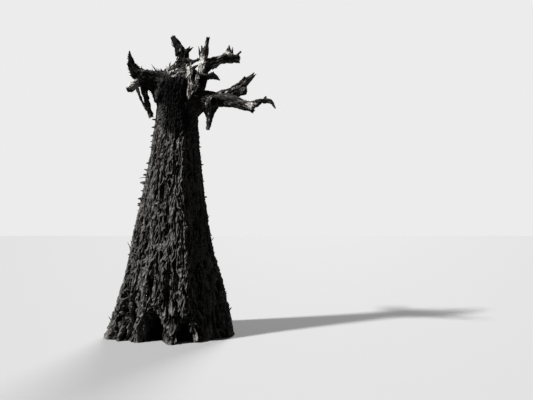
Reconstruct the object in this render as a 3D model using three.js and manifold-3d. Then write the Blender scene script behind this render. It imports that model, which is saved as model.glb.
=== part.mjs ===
// A dead quiver tree: a stout, fluted trunk that carries a crown of broken, weathered boughs.
// Millimetres, +Z up, +X to the right of the view and -Y towards it. The origin is the middle of the flat foot.

import * as THREE from "three";
import { mergeVertices } from "three/addons/utils/BufferGeometryUtils.js";
import Module from "manifold-3d";

const wasm = await Module();
wasm.setup();
const { degToRad, smoothstep, clamp, lerp } = THREE.MathUtils;

// Trunk sizes
const TRUNK_HEIGHT = 4090; // ground to the torn top
const NECK_HEIGHT = 3500; // ground to where the boughs begin to swell out of the trunk
const FOOT_RADIUS = 925;
const NECK_RADIUS = 322;
const TAPER_POWER = 1.45; // above 1, so the foot flares out
const HEAD_SWELL = 42; // how much wider the head is than the neck
const HEAD_SHOULDER = 3830; // where the head starts to round over
const HEAD_TIP_SHARE = 0.16; // the radius left at the very top, as a share of the head's
const NECK_LEAN = { x: 62, y: 30 }; // how far the neck stands from over the middle of the foot
const LEAN_POWER = 2;
const TRUNK_SIDES = 104;
const TRUNK_RINGS = 48;

// Root lobes swell at the foot and fade towards the neck. Each is a share of the radius.
const LOBES = [
  { count: 2, share: 0.018, phase: 0.0 },
  { count: 3, share: 0.025, phase: 2.6 },
  { count: 5, share: 0.04, phase: 0.9 },
  { count: 9, share: 0.03, phase: 4.1 },
  { count: 14, share: 0.014, phase: 1.3 },
];
const LOBE_NECK_SHARE = 0.3; // what is left of the lobes at the neck
const BARK_ROUGHNESS = 7; // how far single plates of bark stand in or out

// Folds and hollows of the trunk. Bearings are degrees from +X, positive towards +Y, so -90 faces the view.
// Each dips by depth, or stands out where depth is negative, over half of its width and height each way.
const FOLD_STEEPNESS = 1.4;
const FOLDS = [
  { bearing: -66, height: 2100, width: 8, tall: 5200, depth: -42 }, // sharp ridge down the front
  { bearing: -40, height: 1900, width: 40, tall: 4600, depth: 46 }, // flat face to the right of the ridge
  { bearing: -8, height: 350, width: 44, tall: 1500, depth: -62 }, // right root
  { bearing: -98, height: 30, width: 27, tall: 840, depth: 330 }, // large hollow at the foot
  { bearing: -66, height: 40, width: 17, tall: 620, depth: 240 }, // small hollow at the foot
  { bearing: -104, height: 800, width: 7, tall: 560, depth: 80 }, // clefts above the hollows
  { bearing: -84, height: 700, width: 7, tall: 780, depth: 95 },
  { bearing: -141, height: 640, width: 9, tall: 1500, depth: 125 }, // groove beside the left root
  { bearing: -128, height: 150, width: 8, tall: 640, depth: 110 },
  { bearing: -134, height: 400, width: 5, tall: 360, depth: 60 },
  { bearing: -122, height: 380, width: 6, tall: 300, depth: 60 },
  { bearing: -104, height: 2140, width: 14, tall: 330, depth: 66 }, // pit where a bough was shed
  { bearing: -90, height: 2270, width: 17, tall: 150, depth: 34 },
  { bearing: -30, height: 200, width: 13, tall: 1500, depth: 80 },
  { bearing: 38, height: 300, width: 16, tall: 2100, depth: 100 },
  { bearing: 86, height: 60, width: 24, tall: 900, depth: 260 }, // hollow at the back of the foot
  { bearing: 128, height: 350, width: 14, tall: 2400, depth: 90 },
  { bearing: 70, height: 1750, width: 18, tall: 420, depth: 55 },
];

// Narrow clefts between the main ribs of bark, dealt out evenly all round by two steady steps
const CLEFT_COUNT = 46;
const CLEFT_TURN = 0.7549; // from one cleft to the next, as a share of a full turn
const CLEFT_RISE = 0.5698; // and as a share of the height that they fill
const CLEFT_HEIGHTS = { low: 250, high: 3200 };
const CLEFT_DEPTHS = { low: 48, high: 22 };
const CLEFT_WIDTH = 7;
const CLEFT_TALL = 900;
const CLEFTS = Array.from({ length: CLEFT_COUNT }, (_, i) => {
  const risen = (i * CLEFT_RISE) % 1;
  return {
    bearing: 360 * ((i * CLEFT_TURN) % 1),
    height: lerp(CLEFT_HEIGHTS.low, CLEFT_HEIGHTS.high, risen),
    width: CLEFT_WIDTH,
    tall: CLEFT_TALL,
    depth: lerp(CLEFT_DEPTHS.low, CLEFT_DEPTHS.high, risen),
  };
});

// Limbs
const CLEARANCE = 0.3; // left between a limb and what it grows from
const LIMB_WAVE = 0.05; // slow swelling along a limb, as a share of its radius
const LIMB_OVAL = 0.07; // how far a limb's section is from round
const LIMB_RIDGES = 0.045;
const RIDGE_COUNT = 5;
const FINE = { sides: 12, steps: 9 };
const PLAIN = { sides: 9, steps: 6 };
const SLIGHT = { sides: 7, steps: 4 };

// Each limb runs through its points, with a radius at each. Its root is sunk in what carries it.
// broken is how far the splinters at its end stand out.
const LIMBS = [
  { name: "left_bough", finish: "bark", grain: FINE, broken: 20,
    points: [[-80, -20, 3790], [-250, -80, 3900], [-450, -160, 3940]], radii: [235, 172, 120] },
  { name: "left_horn", finish: "bark", grain: FINE, broken: 0,
    points: [[-450, -155, 3935], [-560, -210, 4031], [-624, -240, 4155], [-647, -260, 4337]],
    radii: [120, 80, 49, 8] },
  { name: "left_knob", finish: "bleached_wood", grain: PLAIN, broken: 0,
    points: [[-470, -170, 3877], [-561, -220, 3783], [-634, -235, 3745], [-669, -240, 3738]],
    radii: [53, 60, 55, 28] },
  { name: "left_hanging_limb", finish: "weathered_wood", grain: PLAIN, broken: 18,
    points: [[-465, -120, 3860], [-400, -100, 3590], [-345, -60, 3355]], radii: [50, 41, 38] },
  { name: "left_peeled_strip", finish: "weathered_wood", grain: SLIGHT, broken: 0,
    points: [[-548, -200, 3790], [-505, -180, 3640], [-400, -120, 3440]], radii: [19, 18, 15] },
  { name: "torn_stump", finish: "bleached_wood", grain: FINE, broken: 34,
    points: [[262, -50, 3850], [319, -220, 3925], [350, -330, 3961]], radii: [95, 88, 82] },
  { name: "stump_spur", finish: "weathered_wood", grain: SLIGHT, broken: 0,
    points: [[262, -150, 3940], [335, -185, 4085], [407, -220, 4126]], radii: [42, 30, 11] },
  { name: "top_bough", finish: "weathered_wood", grain: FINE, broken: 16,
    points: [[147, 80, 3985], [108, 140, 4290], [110, 160, 4480]], radii: [176, 121, 95] },
  { name: "top_prong_left", finish: "weathered_wood", grain: PLAIN, broken: 12,
    points: [[82, 165, 4440], [8, 180, 4610], [-61, 200, 4735]], radii: [76, 58, 38] },
  { name: "top_prong_right", finish: "weathered_wood", grain: PLAIN, broken: 50,
    points: [[128, 150, 4400], [170, 135, 4470], [213, 110, 4515]], radii: [81, 74, 64] },
  { name: "top_spur", finish: "weathered_wood", grain: SLIGHT, broken: 10,
    points: [[187, 110, 4293], [293, 50, 4276], [392, 0, 4290]], radii: [47, 35, 16] },
  { name: "right_bough", finish: "weathered_wood", grain: FINE, broken: 40,
    points: [[300, -20, 3600], [620, -140, 3600], [940, -240, 3550], [1270, -340, 3425]], radii: [196, 134, 92, 72] },
  { name: "branch_scar", finish: "bark", grain: PLAIN, broken: 16,
    points: [[640, -190, 3560], [658, -270, 3542], [676, -335, 3528]], radii: [84, 74, 60] },
  { name: "right_upper_bough", finish: "weathered_wood", grain: FINE, broken: 12,
    points: [[345, 20, 3700], [435, -20, 3950], [468, -40, 4200]], radii: [110, 78, 92] },
  { name: "right_upper_arm", finish: "weathered_wood", grain: FINE, broken: 36,
    points: [[465, -40, 4140], [630, 60, 4270], [810, 200, 4380], [990, 340, 4405]], radii: [104, 82, 68, 65] },
  { name: "upper_prong", finish: "weathered_wood", grain: PLAIN, broken: 14,
    points: [[465, -40, 4200], [516, -100, 4412], [552, -140, 4590]], radii: [60, 40, 29] },
  { name: "near_sliver", finish: "weathered_wood", grain: SLIGHT, broken: 0,
    points: [[449, -58, 4195], [455, -72, 4390], [445, -80, 4487]], radii: [31, 24, 12] },
  { name: "far_sliver", finish: "weathered_wood", grain: SLIGHT, broken: 0,
    points: [[432, -10, 4195], [400, 10, 4419], [384, 20, 4514]], radii: [17, 13, 7] },
  { name: "arm_spike_up", finish: "weathered_wood", grain: SLIGHT, broken: 0,
    points: [[831, 240, 4395], [851, 250, 4523], [857, 260, 4621]], radii: [76, 43, 9] },
  { name: "arm_spike_side", finish: "weathered_wood", grain: SLIGHT, broken: 0,
    points: [[930, 300, 4410], [985, 330, 4480], [1045, 360, 4550]], radii: [30, 21, 13] },
  { name: "beak_stub", finish: "weathered_wood", grain: PLAIN, broken: 0,
    points: [[430, -50, 3990], [604, -140, 3977], [694, -180, 3928], [749, -200, 3879]],
    radii: [76, 62, 38, 11] },
  { name: "right_fork", finish: "weathered_wood", grain: FINE, broken: 0,
    points: [[700, -160, 3590], [990, -40, 3780], [1140, 60, 3950], [1270, 140, 4120]], radii: [108, 86, 64, 10] },
  { name: "fork_stub", finish: "weathered_wood", grain: PLAIN, broken: 22,
    points: [[1010, -40, 3765], [1085, -75, 3752], [1150, -100, 3745]], radii: [70, 58, 44] },
  { name: "right_bough_twig", finish: "weathered_wood", grain: PLAIN, broken: 0,
    points: [[1215, -310, 3470], [1430, -420, 3515], [1530, -500, 3485], [1600, -550, 3370]], radii: [56, 37, 31, 10] },
  { name: "hanging_stub", finish: "weathered_wood", grain: PLAIN, broken: 24,
    points: [[602, -120, 3540], [588, -140, 3363], [584, -150, 3235], [566, -165, 3144]],
    radii: [114, 60, 40, 30] },
  { name: "back_bough", finish: "bark", grain: FINE, broken: 34,
    points: [[100, 60, 3700], [40, 380, 3800], [-20, 700, 3880]], radii: [210, 150, 104] },
  { name: "back_fork", finish: "weathered_wood", grain: PLAIN, broken: 0,
    points: [[-10, 660, 3865], [-90, 860, 3900], [-110, 1060, 4010]], radii: [86, 60, 12] },
  { name: "back_stub", finish: "weathered_wood", grain: PLAIN, broken: 36,
    points: [[100, 100, 3690], [220, 340, 3720], [280, 540, 3690]], radii: [140, 96, 72] },
];

// Hollows worn into the ends of two limbs: each is a ball, stretched along the limb's end.
const HOLLOWS = {
  torn_stump: { at: [377, -352, 3930], radii: [36, 120, 54] },
  branch_scar: { at: [679, -352, 3527], radii: [36, 70, 52] },
};
const HOLLOW_SIDES = 12;

const COLOURS = { bark: "#454341", weathered_wood: "#6d6a66", bleached_wood: "#c4c0b8" };
const WOOD_ROUGHNESS = 0.95;
const MERGE_DISTANCE = 1e-3;

// A repeatable value between -1 and 1 for a pair of numbers.
function scatter(a, b) {
  const wave = Math.sin(a * 127.1 + b * 311.7) * 43758.5453;
  return 2 * (wave - Math.floor(wave)) - 1;
}

// The smallest turn between two bearings, in radians.
function turnBetween(a, b) {
  return Math.atan2(Math.sin(a - b), Math.cos(a - b));
}

// How far a fold reaches in at a bearing and height: most of its depth near its middle, and little past its edge.
function foldDepth(fold, bearing, height) {
  const across = turnBetween(bearing, degToRad(fold.bearing)) / degToRad(fold.width / 2);
  const along = (height - fold.height) / (fold.tall / 2);
  return fold.depth * Math.exp(-((across * across + along * along) ** FOLD_STEEPNESS));
}

// The trunk's radius at a bearing and height.
function trunkRadius(bearing, height) {
  const risen = clamp(height / NECK_HEIGHT, 0, 1);
  let radius = NECK_RADIUS + (FOOT_RADIUS - NECK_RADIUS) * (1 - risen) ** TAPER_POWER;
  radius += HEAD_SWELL * smoothstep(height, NECK_HEIGHT, HEAD_SHOULDER);
  const lobed = LOBE_NECK_SHARE + (1 - LOBE_NECK_SHARE) * (1 - risen) ** 2;
  const swell = LOBES.map(({ count, share, phase }) => share * Math.cos(count * bearing + phase + risen));
  radius *= 1 + lobed * swell.reduce((sum, value) => sum + value, 0);
  for (const fold of [...FOLDS, ...CLEFTS]) radius -= foldDepth(fold, bearing, height);
  const over = clamp((height - HEAD_SHOULDER) / (TRUNK_HEIGHT - HEAD_SHOULDER), 0, 1);
  return radius * (HEAD_TIP_SHARE + (1 - HEAD_TIP_SHARE) * Math.sqrt(1 - over * over));
}

// The middle of the trunk at a height.
function trunkMiddle(height) {
  const lean = clamp(height / NECK_HEIGHT, 0, 1.2) ** LEAN_POWER;
  return { x: NECK_LEAN.x * lean, y: NECK_LEAN.y * lean };
}

// Moves every corner of a closed unit cylinder: place(turn, share, reach) gives its new position, where share runs
// from 0 at the root to 1 at the tip, and reach is 0 at the middle of a cap and 1 on the wall.
function reshapedCylinder(sides, steps, place) {
  const geometry = new THREE.CylinderGeometry(1, 1, 1, sides, steps);
  const corners = geometry.getAttribute("position");
  for (let i = 0; i < corners.count; i++) {
    const turn = Math.atan2(-corners.getZ(i), corners.getX(i));
    const reach = Math.hypot(corners.getX(i), corners.getZ(i)) > 0.5 ? 1 : 0;
    const spot = place(turn, corners.getY(i) + 0.5, reach);
    corners.setXYZ(i, spot.x, spot.y, spot.z);
  }
  return geometry;
}

// The trunk, made larger all round by a clearance.
function trunkGeometry(clearance) {
  return reshapedCylinder(TRUNK_SIDES, TRUNK_RINGS, (turn, share, reach) => {
    const height = share * TRUNK_HEIGHT;
    const side = Math.round((turn / (2 * Math.PI)) * TRUNK_SIDES + TRUNK_SIDES) % TRUNK_SIDES;
    const plate = share > 0 ? BARK_ROUGHNESS * scatter(side, Math.round(share * TRUNK_RINGS)) : 0;
    const radius = reach * (trunkRadius(turn, height) + plate + clearance);
    const middle = trunkMiddle(height);
    const lift = share === 1 ? clearance : 0;
    return {
      x: middle.x + radius * Math.cos(turn),
      y: middle.y + radius * Math.sin(turn),
      z: height + lift,
    };
  });
}

// A limb that tapers along its curve to a point or a splintered end, made larger all round by a clearance.
function limbGeometry({ name, points, radii, grain, broken }, clearance) {
  const curve = new THREE.CatmullRomCurve3(points.map((point) => new THREE.Vector3(...point)));
  const taper = new THREE.SplineCurve(radii.map((radius, i) => new THREE.Vector2(i, radius)));
  const frames = curve.computeFrenetFrames(grain.steps);
  const seed = name.length + points[0][0] / 100;
  return reshapedCylinder(grain.sides, grain.steps, (turn, share, reach) => {
    const step = Math.round(share * grain.steps);
    const side = Math.round((turn / (2 * Math.PI)) * grain.sides + grain.sides) % grain.sides;
    const t = curve.getUtoTmapping(share);
    const wave = LIMB_WAVE * Math.sin(9 * share + seed);
    const oval = LIMB_OVAL * Math.cos(2 * turn + seed);
    const ridges = LIMB_RIDGES * Math.cos(RIDGE_COUNT * turn + 2 * share + seed);
    const radius = reach * (taper.getPoint(t).y * (1 + wave + oval + ridges) + clearance);
    const splinter = reach ? 0.5 + 0.5 * scatter(side, seed) : -0.4;
    let beyond = 0;
    if (share === 0) beyond = -clearance;
    if (share === 1) beyond = clearance + broken * splinter;
    return curve
      .getPoint(t)
      .addScaledVector(frames.normals[step], radius * Math.cos(turn))
      .addScaledVector(frames.binormals[step], radius * Math.sin(turn))
      .addScaledVector(frames.tangents[step], beyond);
  });
}

function hollowGeometry({ at, radii }) {
  return new THREE.SphereGeometry(1, HOLLOW_SIDES, HOLLOW_SIDES / 2).scale(...radii).translate(...at);
}

function solidOf(geometry) {
  geometry.deleteAttribute("normal");
  geometry.deleteAttribute("uv");
  const merged = mergeVertices(geometry, MERGE_DISTANCE);
  const vertProperties = merged.getAttribute("position").array;
  const triVerts = new Uint32Array(merged.index.array);
  return new wasm.Manifold(new wasm.Mesh({ numProp: 3, vertProperties, triVerts }));
}

function geometryOf(solid) {
  const { vertProperties, triVerts } = solid.getMesh();
  return new THREE.BufferGeometry()
    .setAttribute("position", new THREE.BufferAttribute(vertProperties, 3))
    .setIndex(new THREE.BufferAttribute(triVerts, 1));
}

// The largest of the bodies that a cut leaves.
function largestBody(solid) {
  return solid.decompose().reduce((best, body) => (body.volume() > best.volume() ? body : best));
}

const tree = new THREE.Group();
const standing = []; // what is already in place, each with the clearance round it

function addPiece(name, finish, solid, surround) {
  const material = new THREE.MeshStandardMaterial({ color: COLOURS[finish], roughness: WOOD_ROUGHNESS, metalness: 0 });
  const mesh = new THREE.Mesh(geometryOf(solid), material);
  mesh.name = name;
  tree.add(mesh);
  standing.push(surround);
}

addPiece("trunk", "bark", solidOf(trunkGeometry(0)), solidOf(trunkGeometry(CLEARANCE)));
for (const limb of LIMBS) {
  let solid = solidOf(limbGeometry(limb, 0));
  if (HOLLOWS[limb.name]) solid = solid.subtract(solidOf(hollowGeometry(HOLLOWS[limb.name])));
  for (const surround of standing) solid = solid.subtract(surround);
  addPiece(limb.name, limb.finish, largestBody(solid), solidOf(limbGeometry(limb, CLEARANCE)));
}

export default tree;
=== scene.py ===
import math
from itertools import product
from typing import NamedTuple

import bpy
import numpy as np
from bpy.props import FloatProperty, FloatVectorProperty, IntProperty, PointerProperty
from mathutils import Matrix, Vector


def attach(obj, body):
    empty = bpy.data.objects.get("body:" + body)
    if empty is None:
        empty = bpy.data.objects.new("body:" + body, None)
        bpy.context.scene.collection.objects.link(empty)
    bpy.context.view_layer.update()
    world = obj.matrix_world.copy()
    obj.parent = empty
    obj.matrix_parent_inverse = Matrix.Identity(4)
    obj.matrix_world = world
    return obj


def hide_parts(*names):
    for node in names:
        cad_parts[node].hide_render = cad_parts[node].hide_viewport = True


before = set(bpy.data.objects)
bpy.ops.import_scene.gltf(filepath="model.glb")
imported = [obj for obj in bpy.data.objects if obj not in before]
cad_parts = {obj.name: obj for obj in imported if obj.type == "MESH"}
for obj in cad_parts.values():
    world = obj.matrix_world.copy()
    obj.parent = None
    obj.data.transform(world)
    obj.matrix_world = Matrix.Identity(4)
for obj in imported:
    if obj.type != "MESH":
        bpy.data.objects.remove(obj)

bl_info = {
    "name": "Dead quiver tree",
    "version": (1, 0, 0),
    "blender": (4, 5, 0),
    "location": "View3D > Sidebar > Quiver tree",
    "description": "Builds the shaggy bark, weathered boughs and torn wood of a dead quiver tree",
    "category": "Object",
}

BODY = "root"
MM = 0.001  # the tables below are in millimetres, and Blender's meshes in metres

# Trunk, by the same formula as its solid
TRUNK_HEIGHT = 4090
NECK_HEIGHT = 3500
FOOT_RADIUS = 925
NECK_RADIUS = 322
TAPER_POWER = 1.45
HEAD_SWELL = 42
HEAD_SHOULDER = 3830
HEAD_TIP_SHARE = 0.16
NECK_LEAN = (62, 30)
LEAN_POWER = 2
LEAN_LIMIT = 1.2

# Root lobes: count round the trunk, share of the radius, phase
LOBES = [(2, 0.018, 0.0), (3, 0.025, 2.6), (5, 0.04, 0.9), (9, 0.03, 4.1), (14, 0.014, 1.3)]
LOBE_NECK_SHARE = 0.3

FOLD_STEEPNESS = 1.4


class Fold(NamedTuple):
    """A fold of the trunk, or a rib where its depth is below zero. Bearing and width are in degrees."""

    bearing: float
    height: float
    width: float
    tall: float
    depth: float
    shade: float = 0  # how much painted shade darkens it inside, from 0 to 1
    lipped: bool = False  # whether a thick rim runs round it


# Folds and hollows of the trunk. A bearing of -90 faces the view.
FOLDS = [
    Fold(-66, 2100, 13, 5200, -34),  # the front ridge
    Fold(-40, 1900, 40, 4600, 46, shade=0.5),
    Fold(-8, 350, 44, 1500, -62),
    Fold(-98, 30, 27, 840, 330, shade=1, lipped=True),  # large hollow at the foot
    Fold(-66, 40, 17, 620, 240, shade=1, lipped=True),  # small hollow at the foot
    Fold(-104, 800, 7, 560, 80, shade=0.5),  # clefts above the hollows
    Fold(-84, 700, 7, 780, 95, shade=0.5),
    Fold(-141, 640, 9, 1500, 125, shade=1),
    Fold(-128, 150, 8, 640, 110, shade=0.5),
    Fold(-134, 400, 5, 360, 60, shade=0.5),
    Fold(-122, 380, 6, 300, 60, shade=0.5),
    Fold(-104, 2140, 14, 330, 66, shade=1),
    Fold(-90, 2270, 17, 150, 34, shade=0.5),
    Fold(-30, 200, 13, 1500, 80),
    Fold(38, 300, 16, 2100, 100),
    Fold(86, 60, 24, 900, 260, shade=1, lipped=True),  # hollow at the back of the foot
    Fold(128, 350, 14, 2400, 90),
    Fold(70, 1750, 18, 420, 55),
]
RIDGE_FADE = (3000, 3400)  # heights between which the front ridge fades out
LEAN_FLANK = Fold(-169, 620, 76, 1300, 45)  # a fold that only the bark has, where it has worn thin

# Narrow clefts between the main ribs of bark, dealt out evenly all round by two steady steps
CLEFT_COUNT = 46
CLEFT_TURN = 0.7549
CLEFT_RISE = 0.5698
CLEFT_HEIGHTS = (250, 3200)
CLEFT_DEPTHS = (48, 22)
CLEFT_WIDTH = 7
CLEFT_TALL = 900


def cleft(number):
    """One narrow cleft between ribs of bark."""
    risen = number * CLEFT_RISE % 1
    height = CLEFT_HEIGHTS[0] + (CLEFT_HEIGHTS[1] - CLEFT_HEIGHTS[0]) * risen
    depth = CLEFT_DEPTHS[0] + (CLEFT_DEPTHS[1] - CLEFT_DEPTHS[0]) * risen
    return Fold(360 * (number * CLEFT_TURN % 1), height, CLEFT_WIDTH, CLEFT_TALL, depth)


CLEFTS = [cleft(number) for number in range(CLEFT_COUNT)]


class Shape(NamedTuple):
    """A limb: its finish, its line with a radius at each point, and how its surface is worn."""

    finish: str
    points: list
    radii: tuple
    broken: float = 0  # how far its broken end stands out
    collar: float = 0.2  # how much wider it is where it grows out of its host
    streaks: float = 0.3  # how much of it is worn to pale streaks
    knots: float = 0.1  # how lumpy it is
    flat: float = 1  # its thickness towards the view over its width
    rough: float = 1  # how rough its surface is


BARK = "bark"
WEATHERED = "weathered_wood"
BLEACHED = "bleached_wood"

# Limbs that stand for a solid of the same name, in the order in which they grow out of each other
LIMBS = {
    "left_bough": Shape(
        BARK, [(80, 30, 3690), (-80, -20, 3790), (-250, -80, 3900), (-450, -160, 3940)],
        (240, 235, 172, 120), collar=0.3, streaks=0.05, knots=0.09,
    ),
    "left_horn": Shape(
        BARK, [(-450, -155, 3935), (-560, -210, 4031), (-624, -240, 4155), (-647, -260, 4337)],
        (120, 84, 54, 9), collar=0.1, streaks=0.1, knots=0.2,
    ),
    "left_knob": Shape(
        BLEACHED, [(-470, -170, 3877), (-555, -212, 3800), (-624, -235, 3758), (-663, -240, 3738)],
        (30, 46, 62, 42), collar=0.15, streaks=0.75, knots=0.16,
    ),
    "left_hanging_limb": Shape(
        WEATHERED, [(-465, -120, 3860), (-400, -100, 3590), (-345, -60, 3355)],
        (50, 41, 38), broken=18, collar=0.25, streaks=0.4, knots=0.22,
    ),
    "left_peeled_strip": Shape(
        BLEACHED, [(-540, -200, 3800), (-492, -175, 3640), (-400, -120, 3440)],
        (24, 22, 16), collar=0, streaks=0.6, knots=0.3,
    ),
    "torn_stump": Shape(
        BLEACHED, [(262, -50, 3850), (319, -220, 3925), (350, -330, 3961)],
        (95, 88, 82), broken=30, collar=0.3, streaks=0.5, knots=0.16, rough=1.6,
    ),
    "stump_spur": Shape(WEATHERED, [(262, -150, 3940), (335, -185, 4085), (407, -220, 4126)], (42, 30, 11)),
    "top_bough": Shape(
        WEATHERED, [(147, 80, 3985), (108, 140, 4290), (110, 160, 4480)],
        (168, 88, 82), collar=0.2, streaks=0.24, knots=0.16,
    ),
    "top_prong_left": Shape(
        WEATHERED, [(82, 165, 4440), (8, 180, 4610), (-61, 200, 4735)],
        (76, 58, 38), broken=12, collar=0.15, streaks=0.3, knots=0.14,
    ),
    "top_prong_right": Shape(
        WEATHERED, [(128, 150, 4400), (165, 135, 4450), (203, 112, 4490)],
        (74, 52, 26), broken=30, collar=0.1, streaks=0.3, knots=0.2,
    ),
    "top_spur": Shape(
        WEATHERED, [(187, 110, 4293), (293, 50, 4276), (392, 0, 4290)],
        (47, 31, 19), broken=12, collar=0.25, streaks=0.25, knots=0.3,
    ),
    "right_bough": Shape(
        WEATHERED, [(300, -20, 3600), (620, -140, 3600), (940, -240, 3550), (1270, -340, 3425)],
        (196, 134, 92, 70), broken=14, collar=0.3, streaks=0.3, knots=0.1, rough=0.75,
    ),
    "branch_scar": Shape(
        BARK, [(640, -190, 3560), (658, -270, 3542), (676, -335, 3528)],
        (84, 74, 62), collar=0.3, streaks=0.1, knots=0.05, rough=0.2,
    ),
    "right_upper_bough": Shape(
        WEATHERED, [(345, 20, 3700), (440, -20, 3950), (484, -40, 4200)],
        (110, 74, 78), collar=0.25, streaks=0.2, knots=0.08, rough=0.7,
    ),
    "right_upper_arm": Shape(
        WEATHERED, [(465, -40, 4140), (630, 60, 4270), (810, 200, 4380), (990, 340, 4405)],
        (80, 80, 68, 65), broken=22, collar=0.15, streaks=0.65, knots=0.16,
    ),
    "upper_prong": Shape(
        WEATHERED, [(465, -40, 4200), (516, -100, 4412), (552, -140, 4590)],
        (60, 40, 29), broken=14, collar=0.25, streaks=0.3, knots=0.12,
    ),
    "near_sliver": Shape(WEATHERED, [(449, -58, 4195), (455, -72, 4390), (445, -80, 4487)], (31, 22, 10)),
    "far_sliver": Shape(
        WEATHERED, [(432, -10, 4195), (400, 10, 4419), (384, 20, 4514)],
        (17, 13, 6), streaks=0.6,
    ),
    "arm_spike_up": Shape(
        WEATHERED, [(831, 240, 4395), (851, 250, 4523), (857, 260, 4621)],
        (76, 43, 9), collar=0.3, streaks=0.7, knots=0.15,
    ),
    "arm_spike_side": Shape(
        WEATHERED, [(930, 300, 4410), (985, 330, 4480), (1045, 360, 4550)],
        (30, 21, 13), collar=0.3, knots=0.2,
    ),
    "beak_stub": Shape(
        WEATHERED, [(430, -50, 3990), (563, -120, 3974), (645, -160, 3968), (749, -200, 3896)],
        (46, 40, 46, 8), streaks=0.1, knots=0.12,
    ),
    "right_fork": Shape(
        WEATHERED, [(700, -160, 3590), (990, -40, 3780), (1140, 60, 3950), (1270, 140, 4120)],
        (108, 86, 60, 10), streaks=0.45, knots=0.24,
    ),
    "fork_stub": Shape(
        WEATHERED, [(1010, -40, 3765), (1085, -75, 3752), (1150, -100, 3745)],
        (70, 58, 44), broken=10, streaks=0.15, knots=0.26,
    ),
    "right_bough_twig": Shape(
        WEATHERED, [(1215, -310, 3470), (1430, -420, 3515), (1530, -500, 3485), (1600, -550, 3370)],
        (52, 40, 34, 12), streaks=0.25, knots=0.26,
    ),
    "hanging_stub": Shape(
        WEATHERED, [(602, -120, 3540), (588, -140, 3363), (584, -150, 3235), (566, -165, 3144)],
        (114, 60, 40, 30), broken=20, collar=0.3, streaks=0.4, knots=0.14,
    ),
    "back_bough": Shape(
        BARK, [(100, 60, 3700), (40, 380, 3800), (-20, 700, 3880)],
        (210, 150, 104), broken=34, collar=0.35, streaks=0.15,
    ),
    "back_fork": Shape(
        WEATHERED, [(-10, 660, 3865), (-90, 860, 3900), (-110, 1060, 4010)],
        (86, 60, 12), collar=0.25, knots=0.18,
    ),
    "back_stub": Shape(
        WEATHERED, [(100, 100, 3690), (220, 340, 3720), (280, 540, 3690)],
        (140, 96, 72), broken=36, collar=0.3, streaks=0.4, knots=0.12,
    ),
}

# Torn wood round the stump at the front of the head, and slabs of it that have slipped down
TORN_WOOD = {
    "torn_strip": Shape(
        BLEACHED,
        [(326, -290, 4090), (300, -345, 4030), (306, -354, 3975), (290, -350, 3912), (300, -325, 3850)],
        (6, 40, 38, 28, 5), collar=0, streaks=0.9, knots=0.2, flat=0.5,
    ),
    "torn_edge": Shape(
        WEATHERED, [(258, -290, 4056), (268, -330, 3985), (286, -334, 3905)],
        (5, 21, 5), collar=0, streaks=0.7, knots=0.3, flat=0.7, rough=1.4,
    ),
    "torn_rim": Shape(
        WEATHERED, [(404, -330, 3990), (428, -350, 3950), (430, -350, 3876)],
        (5, 11, 5), collar=0, streaks=0.6, knots=0.2,
    ),
    "torn_tooth": Shape(
        BLEACHED, [(414, -325, 3908), (416, -348, 3862), (390, -340, 3790)],
        (7, 30, 5), collar=0, streaks=1, knots=0.2, flat=0.6,
    ),
    "torn_slab": Shape(
        WEATHERED, [(352, -250, 3896), (346, -266, 3815), (334, -266, 3735), (300, -250, 3650)],
        (18, 84, 76, 16), collar=0, streaks=0.7, knots=0.25, flat=0.5, rough=1.2,
    ),
    "torn_tail": Shape(
        BLEACHED, [(284, -262, 3748), (294, -284, 3690), (286, -276, 3625), (264, -245, 3576)],
        (8, 46, 38, 6), collar=0, streaks=0.8, knots=0.25, flat=0.6,
    ),
}

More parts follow.
